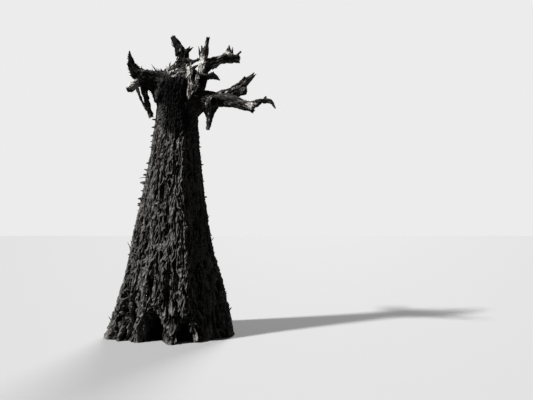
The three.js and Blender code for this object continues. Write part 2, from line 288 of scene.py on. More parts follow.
# Thin twigs, whiskers and nubs that are left on the boughs
TWIGS = {
    "left_whisker": Shape(
        WEATHERED, [(-230, -150, 3990), (-254, -160, 4062), (-292, -162, 4114), (-327, -160, 4162)],
        (26, 15, 8, 2),
    ),
    "left_tooth": Shape(
        BARK, [(-166, -120, 4020), (-176, -125, 4070), (-184, -128, 4104)],
        (34, 22, 5), knots=0.3,
    ),
    "left_shoulder_tooth": Shape(
        BARK, [(-96, -130, 4010), (-112, -135, 4070), (-118, -138, 4096)],
        (40, 24, 6), knots=0.3,
    ),
    "antler_tip": Shape(
        WEATHERED, [(170, 125, 4460), (212, 110, 4512), (238, 105, 4552)],
        (34, 19, 4), knots=0.3,
    ),
    "antler_side": Shape(
        WEATHERED, [(176, 116, 4440), (238, 108, 4490), (284, 104, 4536)],
        (36, 19, 4), knots=0.3,
    ),
    "beak_crest": Shape(
        WEATHERED, [(604, -150, 3975), (634, -160, 4012), (644, -162, 4044)],
        (42, 26, 6), knots=0.2,
    ),
    "left_nub": Shape(
        BARK, [(-545, -205, 3925), (-585, -225, 3932), (-616, -235, 3950)],
        (34, 24, 12), knots=0.3,
    ),
    "prong_whisker": Shape(WEATHERED, [(-30, 190, 4560), (-70, 188, 4600), (-82, 188, 4652)], (10, 8, 3)),
    "second_spike": Shape(
        WEATHERED, [(896, 270, 4400), (906, 275, 4500), (916, 280, 4602)],
        (44, 19, 4), streaks=0.7, knots=0.2,
    ),
    "split_tip": Shape(
        WEATHERED, [(1170, 80, 3960), (1242, 120, 4040), (1306, 150, 4104)],
        (34, 20, 5), knots=0.25,
    ),
    "fork_lump": Shape(
        WEATHERED, [(1060, 20, 3900), (1108, 40, 3985), (1120, 46, 4024)],
        (44, 34, 18), knots=0.3,
    ),
    "twig_nub": Shape(
        WEATHERED, [(1440, -430, 3510), (1452, -436, 3556), (1462, -440, 3576)],
        (26, 20, 10),
    ),
    "knob_peel": Shape(
        BLEACHED, [(-474, -262, 3896), (-534, -260, 3868), (-604, -248, 3824)],
        (10, 27, 24), collar=0, streaks=0.6, knots=0.2, flat=0.6,
    ),
    "horn_nub": Shape(
        BARK, [(-610, -235, 4090), (-652, -246, 4098), (-668, -250, 4118)],
        (30, 20, 9), knots=0.3,
    ),
    "hanging_nub": Shape(
        WEATHERED, [(-400, -100, 3560), (-446, -108, 3548), (-458, -110, 3530)],
        (26, 17, 9),
    ),
    "clinging_strip": Shape(
        WEATHERED, [(86, -312, 2950), (90, -346, 3040), (84, -345, 3110), (48, -326, 3195)],
        (5, 15, 12, 5), collar=0, knots=0.25,
    ),
    "clinging_fork": Shape(
        WEATHERED, [(84, -338, 3085), (120, -342, 3118), (166, -322, 3134)],
        (10, 9, 4), collar=0,
    ),
}
LIMB_WAVE = 0.05
LIMB_OVAL = 0.07
LIMB_RIDGES = 0.045
RIDGE_COUNT = 5
COLLAR_REACH = 70  # how far from its host a limb's collar fades out

# Hollows worn into the ends of two limbs, near those of their solids: middle and reach in each direction
HOLLOWS = {
    "torn_stump": ((382, -352, 3948), (44, 120, 66)),
    "branch_scar": ((673, -352, 3523), (41, 70, 55)),
}

# Places where the wood is torn and pale: middle and reach in each direction
PALE_PLACES = [
    ((300, -340, 3960), (46, 90, 110)),
    ((340, -330, 4046), (34, 70, 24)),
    ((420, -340, 3862), (34, 70, 54)),
    ((318, -330, 3830), (28, 70, 44)),
    ((284, -280, 3640), (36, 110, 62)),
    ((452, -110, 4225), (62, 120, 130)),
    ((434, -100, 4085), (40, 90, 80)),
    ((590, -220, 4014), (44, 60, 18)),
    ((622, -352, 3584), (22, 50, 30)),
    ((1200, -400, 3470), (56, 90, 34)),
    ((1258, -400, 3442), (76, 110, 58)),
    ((-585, -250, 3798), (110, 110, 68)),
    ((-520, -190, 3740), (34, 60, 80)),
    ((-545, -280, 3862), (90, 70, 44)),
    ((74, 90, 4490), (13, 70, 40)),
    ((850, 200, 4440), (70, 90, 60)),
]

# Parts of the trunk and boughs drawn black, partly as wood gone black and partly as painted shadow under the
# boughs and the head: middle, reach and strength
SOOT_AND_SHADOW_PLACES = [
    ((40, -250, 3660), (330, 420, 300), 1.0),
    ((100, -330, 3300), (250, 420, 300), 1.0),
    ((-300, -200, 3870), (370, 330, 190), 0.72),
    ((-600, -215, 4130), (190, 170, 340), 0.92),
    ((-635, -240, 3698), (76, 120, 30), 1.0),
    ((95, 0, 4110), (340, 340, 220), 1.0),
    ((480, -200, 3900), (120, 260, 110), 0.8),
    ((680, -180, 3950), (190, 160, 140), 1.0),
    ((1450, -450, 3490), (200, 160, 130), 0.6),
    ((668, -320, 3530), (135, 90, 115), 0.9),
    ((60, 160, 4560), (260, 230, 330), 0.85),
]


def smoothstep(low, high, value):
    share = np.clip((value - low) / (high - low), 0, 1)
    return share * share * (3 - 2 * share)


def lengths(vectors):
    return np.sqrt((vectors * vectors).sum(-1))


# Seeded patterns, which give the same surface each run
HASH_FACTORS = (73856093, 19349663, 83492791)
MIX_FACTORS = (0x7FEB352D, 0x846CA68B)
SEED_FACTOR = 2654435761
WORD = 2**32
SLOPE_BITS = 10  # bits of a hashed number that give one slope
STEEPEST = 2**SLOPE_BITS - 1
NOISE_GAIN = 1.7  # brings the noise to about -1 to 1


def hashed(cells, seed):
    """A repeatable whole number for each row of three whole numbers."""
    x, y, z = (cells[..., i].astype(np.int64).astype(np.uint32) for i in range(3))
    mixed = x * np.uint32(HASH_FACTORS[0]) ^ y * np.uint32(HASH_FACTORS[1]) ^ z * np.uint32(HASH_FACTORS[2])
    mixed ^= np.uint32(seed * SEED_FACTOR % WORD)
    mixed ^= mixed >> 16
    mixed *= np.uint32(MIX_FACTORS[0])
    mixed ^= mixed >> 15
    mixed *= np.uint32(MIX_FACTORS[1])
    mixed ^= mixed >> 16
    return mixed


def noise(points, seed):
    """Smooth noise from about -1 to 1, with features one unit wide."""
    base = np.floor(points)
    part = points - base
    fade = part**3 * (part * (part * 6 - 15) + 10)
    total = np.zeros(len(points))
    for corner in product((0, 1), repeat=3):
        mixed = hashed(base + corner, seed)
        weight = np.ones(len(points))
        slope = np.zeros(len(points))
        for axis in range(3):
            weight *= fade[:, axis] if corner[axis] else 1 - fade[:, axis]
            drawn = mixed >> np.uint32(SLOPE_BITS * axis) & STEEPEST
            slope += (part[:, axis] - corner[axis]) * (drawn / (STEEPEST / 2) - 1)
        total += weight * slope
    return total * NOISE_GAIN


def layered(points, seed, layers):
    """Noise with finer layers added, each half as wide and half as strong."""
    return sum(noise(points * 2**i, seed + i) / 2**i for i in range(layers))


# The trunk's surface
LIP_PLACE = 1.25  # how far out a hollow's rim lies, over the hollow's reach
LIP_WIDTH = 0.3
HEAD_SLOPE = 0.7


def fold_shares(fold, bearing, height):
    """How far a point lies across and along from the middle of a fold, over the fold's reach."""
    turn = bearing - math.radians(fold.bearing)
    across = np.arctan2(np.sin(turn), np.cos(turn)) / math.radians(fold.width / 2)
    return across, (height - fold.height) / (fold.tall / 2)


def fold_share(fold, bearing, height):
    """How deep a fold is at a point, over its full depth."""
    across, along = fold_shares(fold, bearing, height)
    return np.exp(-((across**2 + along**2) ** FOLD_STEEPNESS))


def fold_depth(fold, bearing, height):
    return fold.depth * fold_share(fold, bearing, height)


def fold_lip(fold, bearing, height):
    """The thick rim of a hollow, just outside it."""
    across, along = fold_shares(fold, bearing, height)
    return np.exp(-(((np.sqrt(across**2 + along**2) - LIP_PLACE) / LIP_WIDTH) ** 2))


def taper_radius(height):
    risen = np.clip(height / NECK_HEIGHT, 0, 1)
    return NECK_RADIUS + (FOOT_RADIUS - NECK_RADIUS) * (1 - risen) ** TAPER_POWER


def trunk_radius(bearing, height):
    """The trunk's radius under the relief of its bark."""
    risen = np.clip(height / NECK_HEIGHT, 0, 1)
    radius = taper_radius(height) + HEAD_SWELL * smoothstep(NECK_HEIGHT, HEAD_SHOULDER, height)
    lobed = LOBE_NECK_SHARE + (1 - LOBE_NECK_SHARE) * (1 - risen) ** 2
    swell = sum(share * np.cos(count * bearing + phase + risen) for count, share, phase in LOBES)
    radius = radius * (1 + lobed * swell)
    radius = radius - fold_depth(FOLDS[0], bearing, height) * (1 - smoothstep(*RIDGE_FADE, height))
    for fold in FOLDS[1:] + CLEFTS:
        radius = radius - fold_depth(fold, bearing, height)
    over = np.clip((height - HEAD_SHOULDER) / (TRUNK_HEIGHT - HEAD_SHOULDER), 0, 1)
    return radius * (HEAD_TIP_SHARE + (1 - HEAD_TIP_SHARE) * np.sqrt(1 - over * over))


def trunk_middle(height):
    lean = np.clip(height / NECK_HEIGHT, 0, LEAN_LIMIT) ** LEAN_POWER
    return NECK_LEAN[0] * lean, NECK_LEAN[1] * lean


def outside_trunk(points):
    """How far each point stands outside the trunk, below zero inside it."""
    x, y = trunk_middle(points[:, 2])
    across = points[:, :2] - np.stack([x, y], -1)
    bearing = np.arctan2(across[:, 1], across[:, 0])
    beyond = lengths(across) - trunk_radius(bearing, points[:, 2])
    return np.maximum(beyond, (points[:, 2] - TRUNK_HEIGHT) * HEAD_SLOPE)


# Bark. A size is that of a pattern's features, in millimetres: twice across the grain, then along it.
ROPE_STRETCH = 4.4  # a rope's length over its width
FINER_ROPES = 1.8  # how many fine ropes take the width of a coarse one
GRAIN_RADIUS = 550  # the trunk's radius where the pattern has its stated size
SWAY = 26  # how far a rope wanders from a straight line
SWAY_SIZE = (80, 80, 150)
SWELL_SIZE = (170, 170, 420)
KNOT_SIZE = (34, 34, 58)
STRAND_SIZE = (12, 12, 60)
CRUMB_SIZE = (16, 16, 24)
PATCH_SIZE = (60, 60, 150)
ROPE_LEVEL = 0.8  # the share of a rope's height that lies under the trunk's plain surface


def bark_relief(grain, points, fineness, rope_width):
    """How far bark stands out, as a share of a rope's height, with the painted shade of its crevices and its
    patchy tone.
    """
    sway = [noise(grain / SWAY_SIZE, seed) for seed in (11, 12)]
    bent = grain + SWAY * np.stack([*sway, 0 * grain[:, 0]], -1)
    rope_size = np.array([rope_width, rope_width, rope_width * ROPE_STRETCH])
    swell = noise(grain / SWELL_SIZE, 71)
    coarse = 1 - smoothstep(0.02, 0.4 + 0.12 * swell, np.abs(noise(bent / rope_size, 5)))
    fine = 1 - smoothstep(0.02, 0.36, np.abs(noise(bent / rope_size * FINER_ROPES, 6)))
    rope = np.maximum(coarse * (1 - 0.5 * fineness), fine * (0.6 + 0.4 * fineness))
    knot = noise(bent / KNOT_SIZE, 10)
    strand = noise(bent / STRAND_SIZE, 7)
    crumbs = noise(points / CRUMB_SIZE, 8)
    height = rope * (1 + 0.25 * swell + 0.22 * knot) + 0.18 * strand + 0.1 * crumbs
    # painted shade: the lower the bark lies between its ropes, the nearer its colour comes to black
    shade_and_soot = 1 - smoothstep(0.16, 0.8, height)
    tone = 0.5 + 0.25 * noise(bent / PATCH_SIZE, 9) + 0.15 * strand + 0.1 * crumbs
    return height - ROPE_LEVEL, shade_and_soot, tone


# Wood. Its patterns have sizes as bark's do, and heights or depths in millimetres.
WANDER_SIZE = (90, 90, 260)
GRAIN_SIZE = (13, 13, 200)
CRACK_SIZE = (30, 30, 300)
CHIP_SIZE = (24, 24, 60)
RIDGE_SIZE = (42, 42, 240)
LUMP_SIZE = (66, 66, 90)
PIT_SIZE = (24, 24, 60)
GRAIN_HEIGHT = 3.2
CRACK_DEPTH = 12
CHIP_DEPTH = 8
RIDGE_HEIGHT = 8
LUMP_HEIGHT = 13
PIT_DEPTH = 9


def wood_relief(points):
    """How far weathered wood stands out in millimetres, with cracks and ridges that run along the limb, and
    painted shade where it lies low.
    """
    wander = np.stack([noise(points / WANDER_SIZE, seed) for seed in (14, 15, 16)], -1)
    grain = layered(points / GRAIN_SIZE + 0.5 * wander, 81, 2)
    crack = 1 - smoothstep(0.0, 0.16, np.abs(noise(points / CRACK_SIZE + 0.45 * wander, 83)))
    chip = 1 - smoothstep(0.0, 0.22, np.abs(noise(points / CHIP_SIZE + 0.6 * wander, 86)))
    ridge = noise(points / RIDGE_SIZE + 0.4 * wander, 84)
    lumps = layered(points / LUMP_SIZE, 85, 2)
    pits = smoothstep(0.4, 0.8, noise(points / PIT_SIZE, 87))
    height = GRAIN_HEIGHT * grain - CRACK_DEPTH * crack - CHIP_DEPTH * chip + RIDGE_HEIGHT * ridge
    height = height + LUMP_HEIGHT * lumps - PIT_DEPTH * pits
    # painted shade: the lower the wood lies, the darker it is drawn
    shade_and_soot = 1 - smoothstep(-14, 0.5, height - 7 * lumps)
    return height, shade_and_soot, 0.5 + 0.4 * np.clip(grain, -1, 1)


STREAK_SIZE = (17, 17, 95)
STREAK_SWAY_SIZE = (70, 70, 150)
STREAK_PATCH_SIZE = (95, 95, 140)


def streaked(grain, share):
    """How pale the worn streaks along the grain are, from 0 to 1, where they take up this share of it."""
    sway = np.stack([noise(grain / STREAK_SWAY_SIZE, seed) for seed in (31, 32, 33)], -1)
    edge = 0.62 - 0.75 * share - 0.25 * noise(grain / STREAK_PATCH_SIZE, 35)
    return smoothstep(edge, edge + 0.3, noise(grain / STREAK_SIZE + 0.4 * sway, 34)) * (0.55 + 0.45 * share)


PALE_EDGE = (0.6, 1.1)  # where a pale place starts to fade and where it ends, over its reach
PALE_RAGS = (0.35, 30)  # how ragged that edge is, over the reach, and the size of its rags
SOOT_AND_SHADOW_EDGE = (0.6, 1.15)
SOOT_AND_SHADOW_RAGS = (0.2, 90)
SOOT_AND_SHADOW_DEPTH = 0.7  # how close to the crevices' black the blackest places come, as sooty wood and as painted shadow


def ragged(points, rags, seed):
    height, size = rags
    return height * noise(points / size, seed)


def paleness(points):
    """How bare and pale the wood is: 1 in the middle of a torn place and 0 away from them all."""
    most = np.zeros(len(points))
    for middle, reach in PALE_PLACES:
        distance = lengths((points - middle) / reach) + ragged(points, PALE_RAGS, 91)
        most = np.maximum(most, 1 - smoothstep(*PALE_EDGE, distance))
    return most


def blackness(points):
    """How black the wood is drawn, partly as sooty wood and partly as painted shadow: a place's strength in
    its middle and 0 away from them all.
    """
    most = np.zeros(len(points))
    for middle, reach, strength in SOOT_AND_SHADOW_PLACES:
        distance = lengths((points - middle) / reach) + ragged(points, SOOT_AND_SHADOW_RAGS, 92)
        most = np.maximum(most, strength * (1 - smoothstep(*SOOT_AND_SHADOW_EDGE, distance)))
    return most


# Meshes
MERGE_DISTANCE = 2e-6  # metres


def clear_selection():
    for obj in bpy.context.selected_objects:
        obj.select_set(False)


def write_values(mesh, name, values):
    kind = "FLOAT_VECTOR" if values.ndim == 2 else "FLOAT"
    field = "vector" if values.ndim == 2 else "value"
    attribute = mesh.attributes.new(name, kind, "POINT")
    attribute.data.foreach_set(field, values.astype(np.float32).ravel())


def sheet_shares(columns, rows):
    """The share round and the share along of every corner of a sheet, row by row."""
    around, along = np.meshgrid(np.linspace(0, 1, columns + 1), np.linspace(0, 1, rows + 1))
    return around.ravel(), along.ravel()


def sheet_normals(points, columns):
    """The outward direction at every corner of a sheet whose first and last columns meet."""
    grid = points.reshape(-1, columns + 1, 3)
    closed = np.concatenate([grid[:, -2:-1], grid, grid[:, 1:2]], 1)
    across = closed[:, 2:] - closed[:, :-2]
    along = np.gradient(grid, axis=0)
    facing = np.cross(across, along)
    return (facing / (np.linalg.norm(facing, axis=-1, keepdims=True) + 1e-12)).reshape(-1, 3)


def corner_order(mesh, columns, rows):
    """The place of each corner of a new grid, when its corners are counted row by row."""
    flat = np.empty(len(mesh.vertices) * 3, np.float32)
    mesh.vertices.foreach_get("co", flat)
    places = np.rint((flat.reshape(-1, 3)[:, :2].astype(float) + 1) / 2 * (columns, rows)).astype(int)
    return places[:, 1] * (columns + 1) + places[:, 0]


def wrapped_sheet(name, columns, rows, points, values, material, facing=None):
    """A grid bent to the points, given row by row, and closed where its edges meet and at its ends."""
    clear_selection()
    bpy.ops.mesh.primitive_grid_add(x_subdivisions=columns, y_subdivisions=rows, size=2)
    obj = bpy.context.object
    obj.name = name
    mesh = obj.data
    mesh.name = name
    order = corner_order(mesh, columns, rows)
    mesh.vertices.foreach_set("co", (points[order] * MM).astype(np.float32).ravel())
    for key, field in values.items():
        write_values(mesh, key, field[order])
    if facing is not None:
        write_values(mesh, "facing", facing[order])
    mesh.update()
    bpy.ops.object.mode_set(mode="EDIT")
    bpy.ops.mesh.select_all(action="SELECT")
    bpy.ops.mesh.remove_doubles(threshold=MERGE_DISTANCE)
    bpy.ops.mesh.fill_holes(sides=0)
    bpy.ops.mesh.select_all(action="SELECT")
    bpy.ops.mesh.normals_make_consistent(inside=False)
    bpy.ops.object.mode_set(mode="OBJECT")
    bpy.ops.object.shade_smooth()
    if facing is not None:
        kept = np.empty(len(mesh.vertices) * 3, np.float32)
        mesh.attributes["facing"].data.foreach_get("vector", kept)
        mesh.normals_split_custom_set_from_vertices(kept.reshape(-1, 3))
        mesh.attributes.remove(mesh.attributes["facing"])
    mesh.materials.append(material)
    return obj


def keep_piece(obj, slot, *nodes):
    """Hangs a finished piece under its body's empty, and hides the solids that it stands for. Its slot is not
    used.
    """
    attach(obj, BODY)
    if nodes:
        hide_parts(*nodes)


# Trunk mesh
TRUNK_COLUMNS = 640
TRUNK_BAND_ROWS = 130
TRUNK_BANDS = ("trunk_foot", "trunk_lower", "trunk_middle", "trunk_upper", "trunk_head")
ROPE_GROWTH = 0.8  # the power of the trunk's radius with which its ropes grow
FINE_RADII = (450, 850)  # the trunk's radii between which fine ropes come in
BARE_RELIEF = 1.1
LIP_HEIGHT = 30
LIP_LUMP_SIZE = (45, 45, 60)
FOOT_SETTLE = 60  # the height over which the bark rises from its flat cut
FOOT_RELIEF = 0.35  # the share of its relief that the bark has at the cut
FOLD_DARK = (0.35, 0.8)  # how far into a shaded fold its painted shade starts, and where it is full
NORMAL_SHARE = 0.8  # how much the relief follows the surface's own direction, over straight out
DROOP = 0.35  # how far down a rope of bark hangs, over how far it stands out
DROOP_DEPTH = 20  # bark that lies deeper than this doesn't hang
BARE_HEIGHT = (3080, 3360)  # where bark gives way to bare fibrous wood at the head
BARE_WANDER = 90  # how far that edge strays up and down
BARE_WANDER_SIZE = 150
LEFT_SIDE = (-0.9, -0.5)  # cosines of the bearings at which the left side is whole, and at which it ends
LEFT_BARK = 0.7  # how much of its bark the head's left side keeps
RUN_LEVELS = np.linspace(0, TRUNK_HEIGHT, 120)
RUN_STEPS = np.diff(RUN_LEVELS) * GRAIN_RADIUS / taper_radius((RUN_LEVELS[:-1] + RUN_LEVELS[1:]) / 2)
RUN_SUMS = np.concatenate([[0], np.cumsum(RUN_STEPS)])


def trunk_grain(bearing, height, radius):
    """A point's place in the bark's pattern, which widens evenly with the trunk towards its foot."""
    run = np.interp(height, RUN_LEVELS, RUN_SUMS)
    reach = GRAIN_RADIUS * radius / taper_radius(height)
    return np.stack([reach * np.cos(bearing), reach * np.sin(bearing), run], -1)


def mix(first, second, share):
    return first * (1 - share) + second * share


def bare_share(bearing, height, grain):
    """How much of the trunk's surface is bare wood: all of it at the head, but little at its left."""
    leftness = 1 - smoothstep(*LEFT_SIDE, np.cos(bearing))
    wander = BARE_WANDER * noise(grain / BARE_WANDER_SIZE, 17)
    return smoothstep(*BARE_HEIGHT, height + wander) * (1 - LEFT_BARK * leftness)


def trunk_relief(bearing, height, smooth, grain, rope_width, rope_height):
    """How far the trunk's surface stands out in millimetres, with the painted shade of its crevices and
    folds, and its tone.
    """
    size = (taper_radius(height) / GRAIN_RADIUS) ** ROPE_GROWTH
    fineness = smoothstep(*FINE_RADII, taper_radius(height))
    relief, shade_and_soot, tone = bark_relief(grain, smooth, fineness, rope_width)
    bare_relief, bare_crevice_shade, bare_tone = wood_relief(grain)
    bare = bare_share(bearing, height, grain)
    relief = mix(relief * rope_height * size, BARE_RELIEF * bare_relief, bare)
    relief = relief - fold_depth(LEAN_FLANK, bearing, height)
    lip = sum(fold_lip(fold, bearing, height) for fold in FOLDS if fold.lipped)
    relief = relief * (FOOT_RELIEF + (1 - FOOT_RELIEF) * smoothstep(0, FOOT_SETTLE, height))
    relief = relief + LIP_HEIGHT * lip * (0.6 + 0.8 * noise(grain / LIP_LUMP_SIZE, 18))
    # painted shade inside the folds and hollows that are given a shade, black deep inside
    inside = sum(fold.shade * fold_share(fold, bearing, height) for fold in FOLDS if fold.shade)
    shade_and_soot = np.maximum(mix(shade_and_soot, bare_crevice_shade, bare), smoothstep(*FOLD_DARK, inside))
    return relief, shade_and_soot, mix(tone, bare_tone, bare)


def trunk_surface(bearing, height, rope_width, rope_height):
    x, y = trunk_middle(height)
    radius = trunk_radius(bearing, height)
    out = np.stack([np.cos(bearing), np.sin(bearing), np.zeros_like(bearing)], -1)
    smooth = np.stack([x, y, height], -1) + radius[:, None] * out
    grain = trunk_grain(bearing, height, np.maximum(radius, 0.9 * taper_radius(height) - 200))
    relief, shade_and_soot, tone = trunk_relief(bearing, height, smooth, grain, rope_width, rope_height)
    way = out + NORMAL_SHARE * sheet_normals(smooth, TRUNK_COLUMNS)
    points = smooth + relief[:, None] * way / lengths(way)[:, None]
    droop = DROOP * np.clip(relief + DROOP_DEPTH, 0, None) * smoothstep(0, FOOT_SETTLE, height)
    points[:, 2] = np.clip(points[:, 2] - droop, 0, None)
    # sooty wood and painted shadow: the black places darken the tone and draw the colour towards the
    # crevices' black
    black = blackness(points)
    shade_and_soot = np.maximum(shade_and_soot, SOOT_AND_SHADOW_DEPTH * black)
    return points, {"shade_and_soot": shade_and_soot, "tone": tone * (1 - black), "pale": paleness(points), "grain": grain}


def add_trunk(material, rope_width, rope_height):
    rows = TRUNK_BAND_ROWS * len(TRUNK_BANDS)
    around, along = sheet_shares(TRUNK_COLUMNS, rows)
    points, values = trunk_surface(around * 2 * math.pi, along * TRUNK_HEIGHT, rope_width, rope_height)
    facing = sheet_normals(points, TRUNK_COLUMNS)
    for number, name in enumerate(TRUNK_BANDS):
        first = number * TRUNK_BAND_ROWS * (TRUNK_COLUMNS + 1)
        band = slice(first, first + (TRUNK_BAND_ROWS + 1) * (TRUNK_COLUMNS + 1))
        shares = {key: field[band] for key, field in values.items()}
        obj = wrapped_sheet(
            name, TRUNK_COLUMNS, TRUNK_BAND_ROWS, points[band], shares, material, facing[band]
        )
        keep_piece(obj, BARK, "trunk")


# Limb meshes
LIMB_SPACING = 5.5
TIP_ROWS = 14
LINE_SAMPLES = 400
LEAST_ROWS = 24
LEAST_SIDES = 40
HOST_STEP = 4  # every so many rows of a limb tell how near it is
HOLLOW_DARK = 30  # how deep a hollow is where no light reaches it
DOME_SHARE = 0.5  # how far an end that isn't broken bulges, over its radius
BREAK_START = 0.985  # the share of a broken limb's length at which its torn end starts
BOUGH_BARK_HEIGHT = 14
BOUGH_ROPE_WIDTH = 0.6  # over the trunk's
BOUGH_FINENESS = 0.4
BOUGH_CRACK_SHADE = 0.6  # how dark the painted shade in a bough's bark cracks is, over the trunk's
BARKED_WOOD = 0.8  # how much of the wood's relief shows through a bough's bark
FULL_RELIEF_RADIUS = 45  # a limb this thick or more has relief of full height
LEAST_RELIEF = 0.15  # the share of it that the thinnest limb keeps


def curve_through(points, samples):
    """Points on a smooth curve through the given ones, and the step along it at which each falls."""
    knots = np.array(points, float)
    first = 2 * knots[0] - knots[1]
    last = 2 * knots[-1] - knots[-2]
    padded = np.vstack([first, knots, last])
    steps = np.linspace(0, len(knots) - 1, samples)
    index = np.minimum(steps.astype(int), len(knots) - 2)
    weight = (steps - index)[:, None]
    p0, p1, p2, p3 = (padded[index + i] for i in range(4))
    d0, d1, d2 = (np.sqrt(lengths(b - a))[:, None] for a, b in ((p0, p1), (p1, p2), (p2, p3)))
    start = ((p1 - p0) / d0 - (p2 - p0) / (d0 + d1) + (p2 - p1) / d1) * d1
    end = ((p2 - p1) / d1 - (p3 - p1) / (d1 + d2) + (p3 - p2) / d2) * d1
    return hermite(p1, p2, start, end, weight), steps


def hermite(a, b, start, end, weight):
    square = weight * weight
    cube = square * weight
    return (
        (2 * cube - 3 * square + 1) * a
        + (cube - 2 * square + weight) * start
        + (3 * square - 2 * cube) * b
        + (cube - square) * end
    )


def taper_at(radii, steps):
    values = np.array(radii, float)
    last = len(values) - 1
    index = np.minimum(steps.astype(int), last - 1)
    before = values[np.maximum(index - 1, 0)]
    here = values[index]
    there = values[index + 1]
    after = values[np.minimum(index + 2, last)]
    return hermite(here, there, (there - before) / 2, (after - here) / 2, steps - index)


class Limb:
    """A limb's line, with its radius and a frame that doesn't twist, at even steps."""

    def __init__(self, name, shape):
        self.name = name
        self.shape = shape
        dense, steps = curve_through(shape.points, LINE_SAMPLES)
        reach = np.concatenate([[0], np.cumsum(lengths(np.diff(dense, axis=0)))])
        self.length = reach[-1]
        self.seed = len(name) + shape.points[0][0] / 100
        self.offset = 1000 * self.seed
        self.rows = max(LEAST_ROWS, round(self.length / LIMB_SPACING))
        even = np.linspace(0, self.length, self.rows + 1)
        self.line = np.stack([np.interp(even, reach, dense[:, i]) for i in range(3)], -1)
        self.radius = taper_at(shape.radii, np.interp(even, reach, steps))
        ahead = np.gradient(self.line, axis=0)
        self.ahead = ahead / lengths(ahead)[:, None]
        self.normal = self.untwisted()
        self.side = np.cross(self.ahead, self.normal)
        self.sides = max(LEAST_SIDES, round(2 * math.pi * self.radius.max() / LIMB_SPACING))

    def untwisted(self):
        least = np.eye(3)[np.argmin(np.abs(self.ahead[0]))]
        across = np.cross(self.ahead[0], least)
        normal = np.cross(self.ahead[0], across / np.linalg.norm(across))
        normals = [normal]
        for ahead in self.ahead[1:]:
            normal = normal - ahead * (normal @ ahead)
            normal = normal / np.linalg.norm(normal)
            normals.append(normal)
        return np.array(normals)

    def at(self, share):
        """The limb's line, radius, direction and two axes across it, at each share of its length."""
        row = share * self.rows
        low = np.minimum(row.astype(int), self.rows - 1)
        part = (row - low)[:, None]
        fields = (self.line, self.radius[:, None], self.ahead, self.normal, self.side)
        line, radius, ahead, normal, side = (mix(field[low], field[low + 1], part) for field in fields)
        return line, radius[:, 0], ahead, normal, side

    def outside(self, points):
        """How far each point stands outside the limb, below zero inside it."""
        nearest = np.full(len(points), 1e9)
        for middle, radius in zip(self.line[::HOST_STEP], self.radius[::HOST_STEP]):
            nearest = np.minimum(nearest, lengths(points - middle) - radius)
        return nearest


def worn_hollow(points, ahead, middle, reach):
    """Pushes what lies in a hollow back along the limb to its wall, and tells how deep that is."""
    spot = (points - middle) / reach
    way = -ahead / reach
    a = (way * way).sum(-1)
    b = (spot * way).sum(-1)
    c = (spot * spot).sum(-1) - 1
    inside = c < 0
    push = np.where(inside, (-b + np.sqrt(np.clip(b * b - a * c, 0, None))) / a, 0)
    return points - ahead * push[:, None], smoothstep(0, HOLLOW_DARK, push)


def limb_swell(limb, turn, body, grain):
    """How much wider a limb is than its taper, as a share: it waves, is oval, and has ridges and lumps."""
    size = limb.radius.mean()
    return (
        LIMB_WAVE * np.sin(9 * body + limb.seed)
        + LIMB_OVAL * np.cos(2 * turn + limb.seed)
        + LIMB_RIDGES * np.cos(RIDGE_COUNT * turn + 2 * body + limb.seed)
        + limb.shape.knots * layered(grain / (size * 1.3, size * 1.3, 40 + size), 61, 2)
    )


def limb_relief(limb, grain, smooth, rope_width):
    """How far a limb's wood, or the bark over it, stands out in millimetres, with the painted shade of its
    crevices, and its tone.
    """
    relief, shade_and_soot, tone = wood_relief(grain)
    if limb.shape.finish == BARK:
        scales, cracks, _ = bark_relief(grain, smooth, BOUGH_FINENESS, BOUGH_ROPE_WIDTH * rope_width)
        relief = BOUGH_BARK_HEIGHT * scales + BARKED_WOOD * relief
        shade_and_soot = np.maximum(BOUGH_CRACK_SHADE * cracks, shade_and_soot)
    return relief, shade_and_soot, tone


def collar_width(limb, hosts, smooth, radius):
    """How much wider a limb is near the hosts that it grows out of."""
    gap = np.full(len(smooth), 1e9)
    for host in hosts:
        gap = np.minimum(gap, host(smooth))
    return limb.shape.collar * radius * np.exp(-np.abs(gap) / COLLAR_REACH)


def limb_end(limb, turn, body, inward, radius, width):
    """How far a limb's end stands out, and the painted shade between its torn fibres: torn where it is
    broken, and else a dome.
    """
    if not limb.shape.broken:
        return DOME_SHARE * radius * np.sqrt(1 - (1 - inward) ** 2), np.zeros_like(body)
    ring = np.stack([np.cos(turn), np.sin(turn), np.zeros_like(turn)], -1)
    jagged = noise(ring * 2.2 + (limb.offset, 0, 0), 95)
    fibres = noise(ring * width[:, None] / 9 + (limb.offset, 0, 0), 96)
    edge = smoothstep(BREAK_START, 1, body)
    end = limb.shape.broken * (0.35 + 0.9 * jagged + 0.8 * fibres - 0.5 * smoothstep(0, 1, inward))
    # painted shade on the fibres that lie lowest at a broken end
    return edge * end, 0.7 * edge * (fibres < 0)


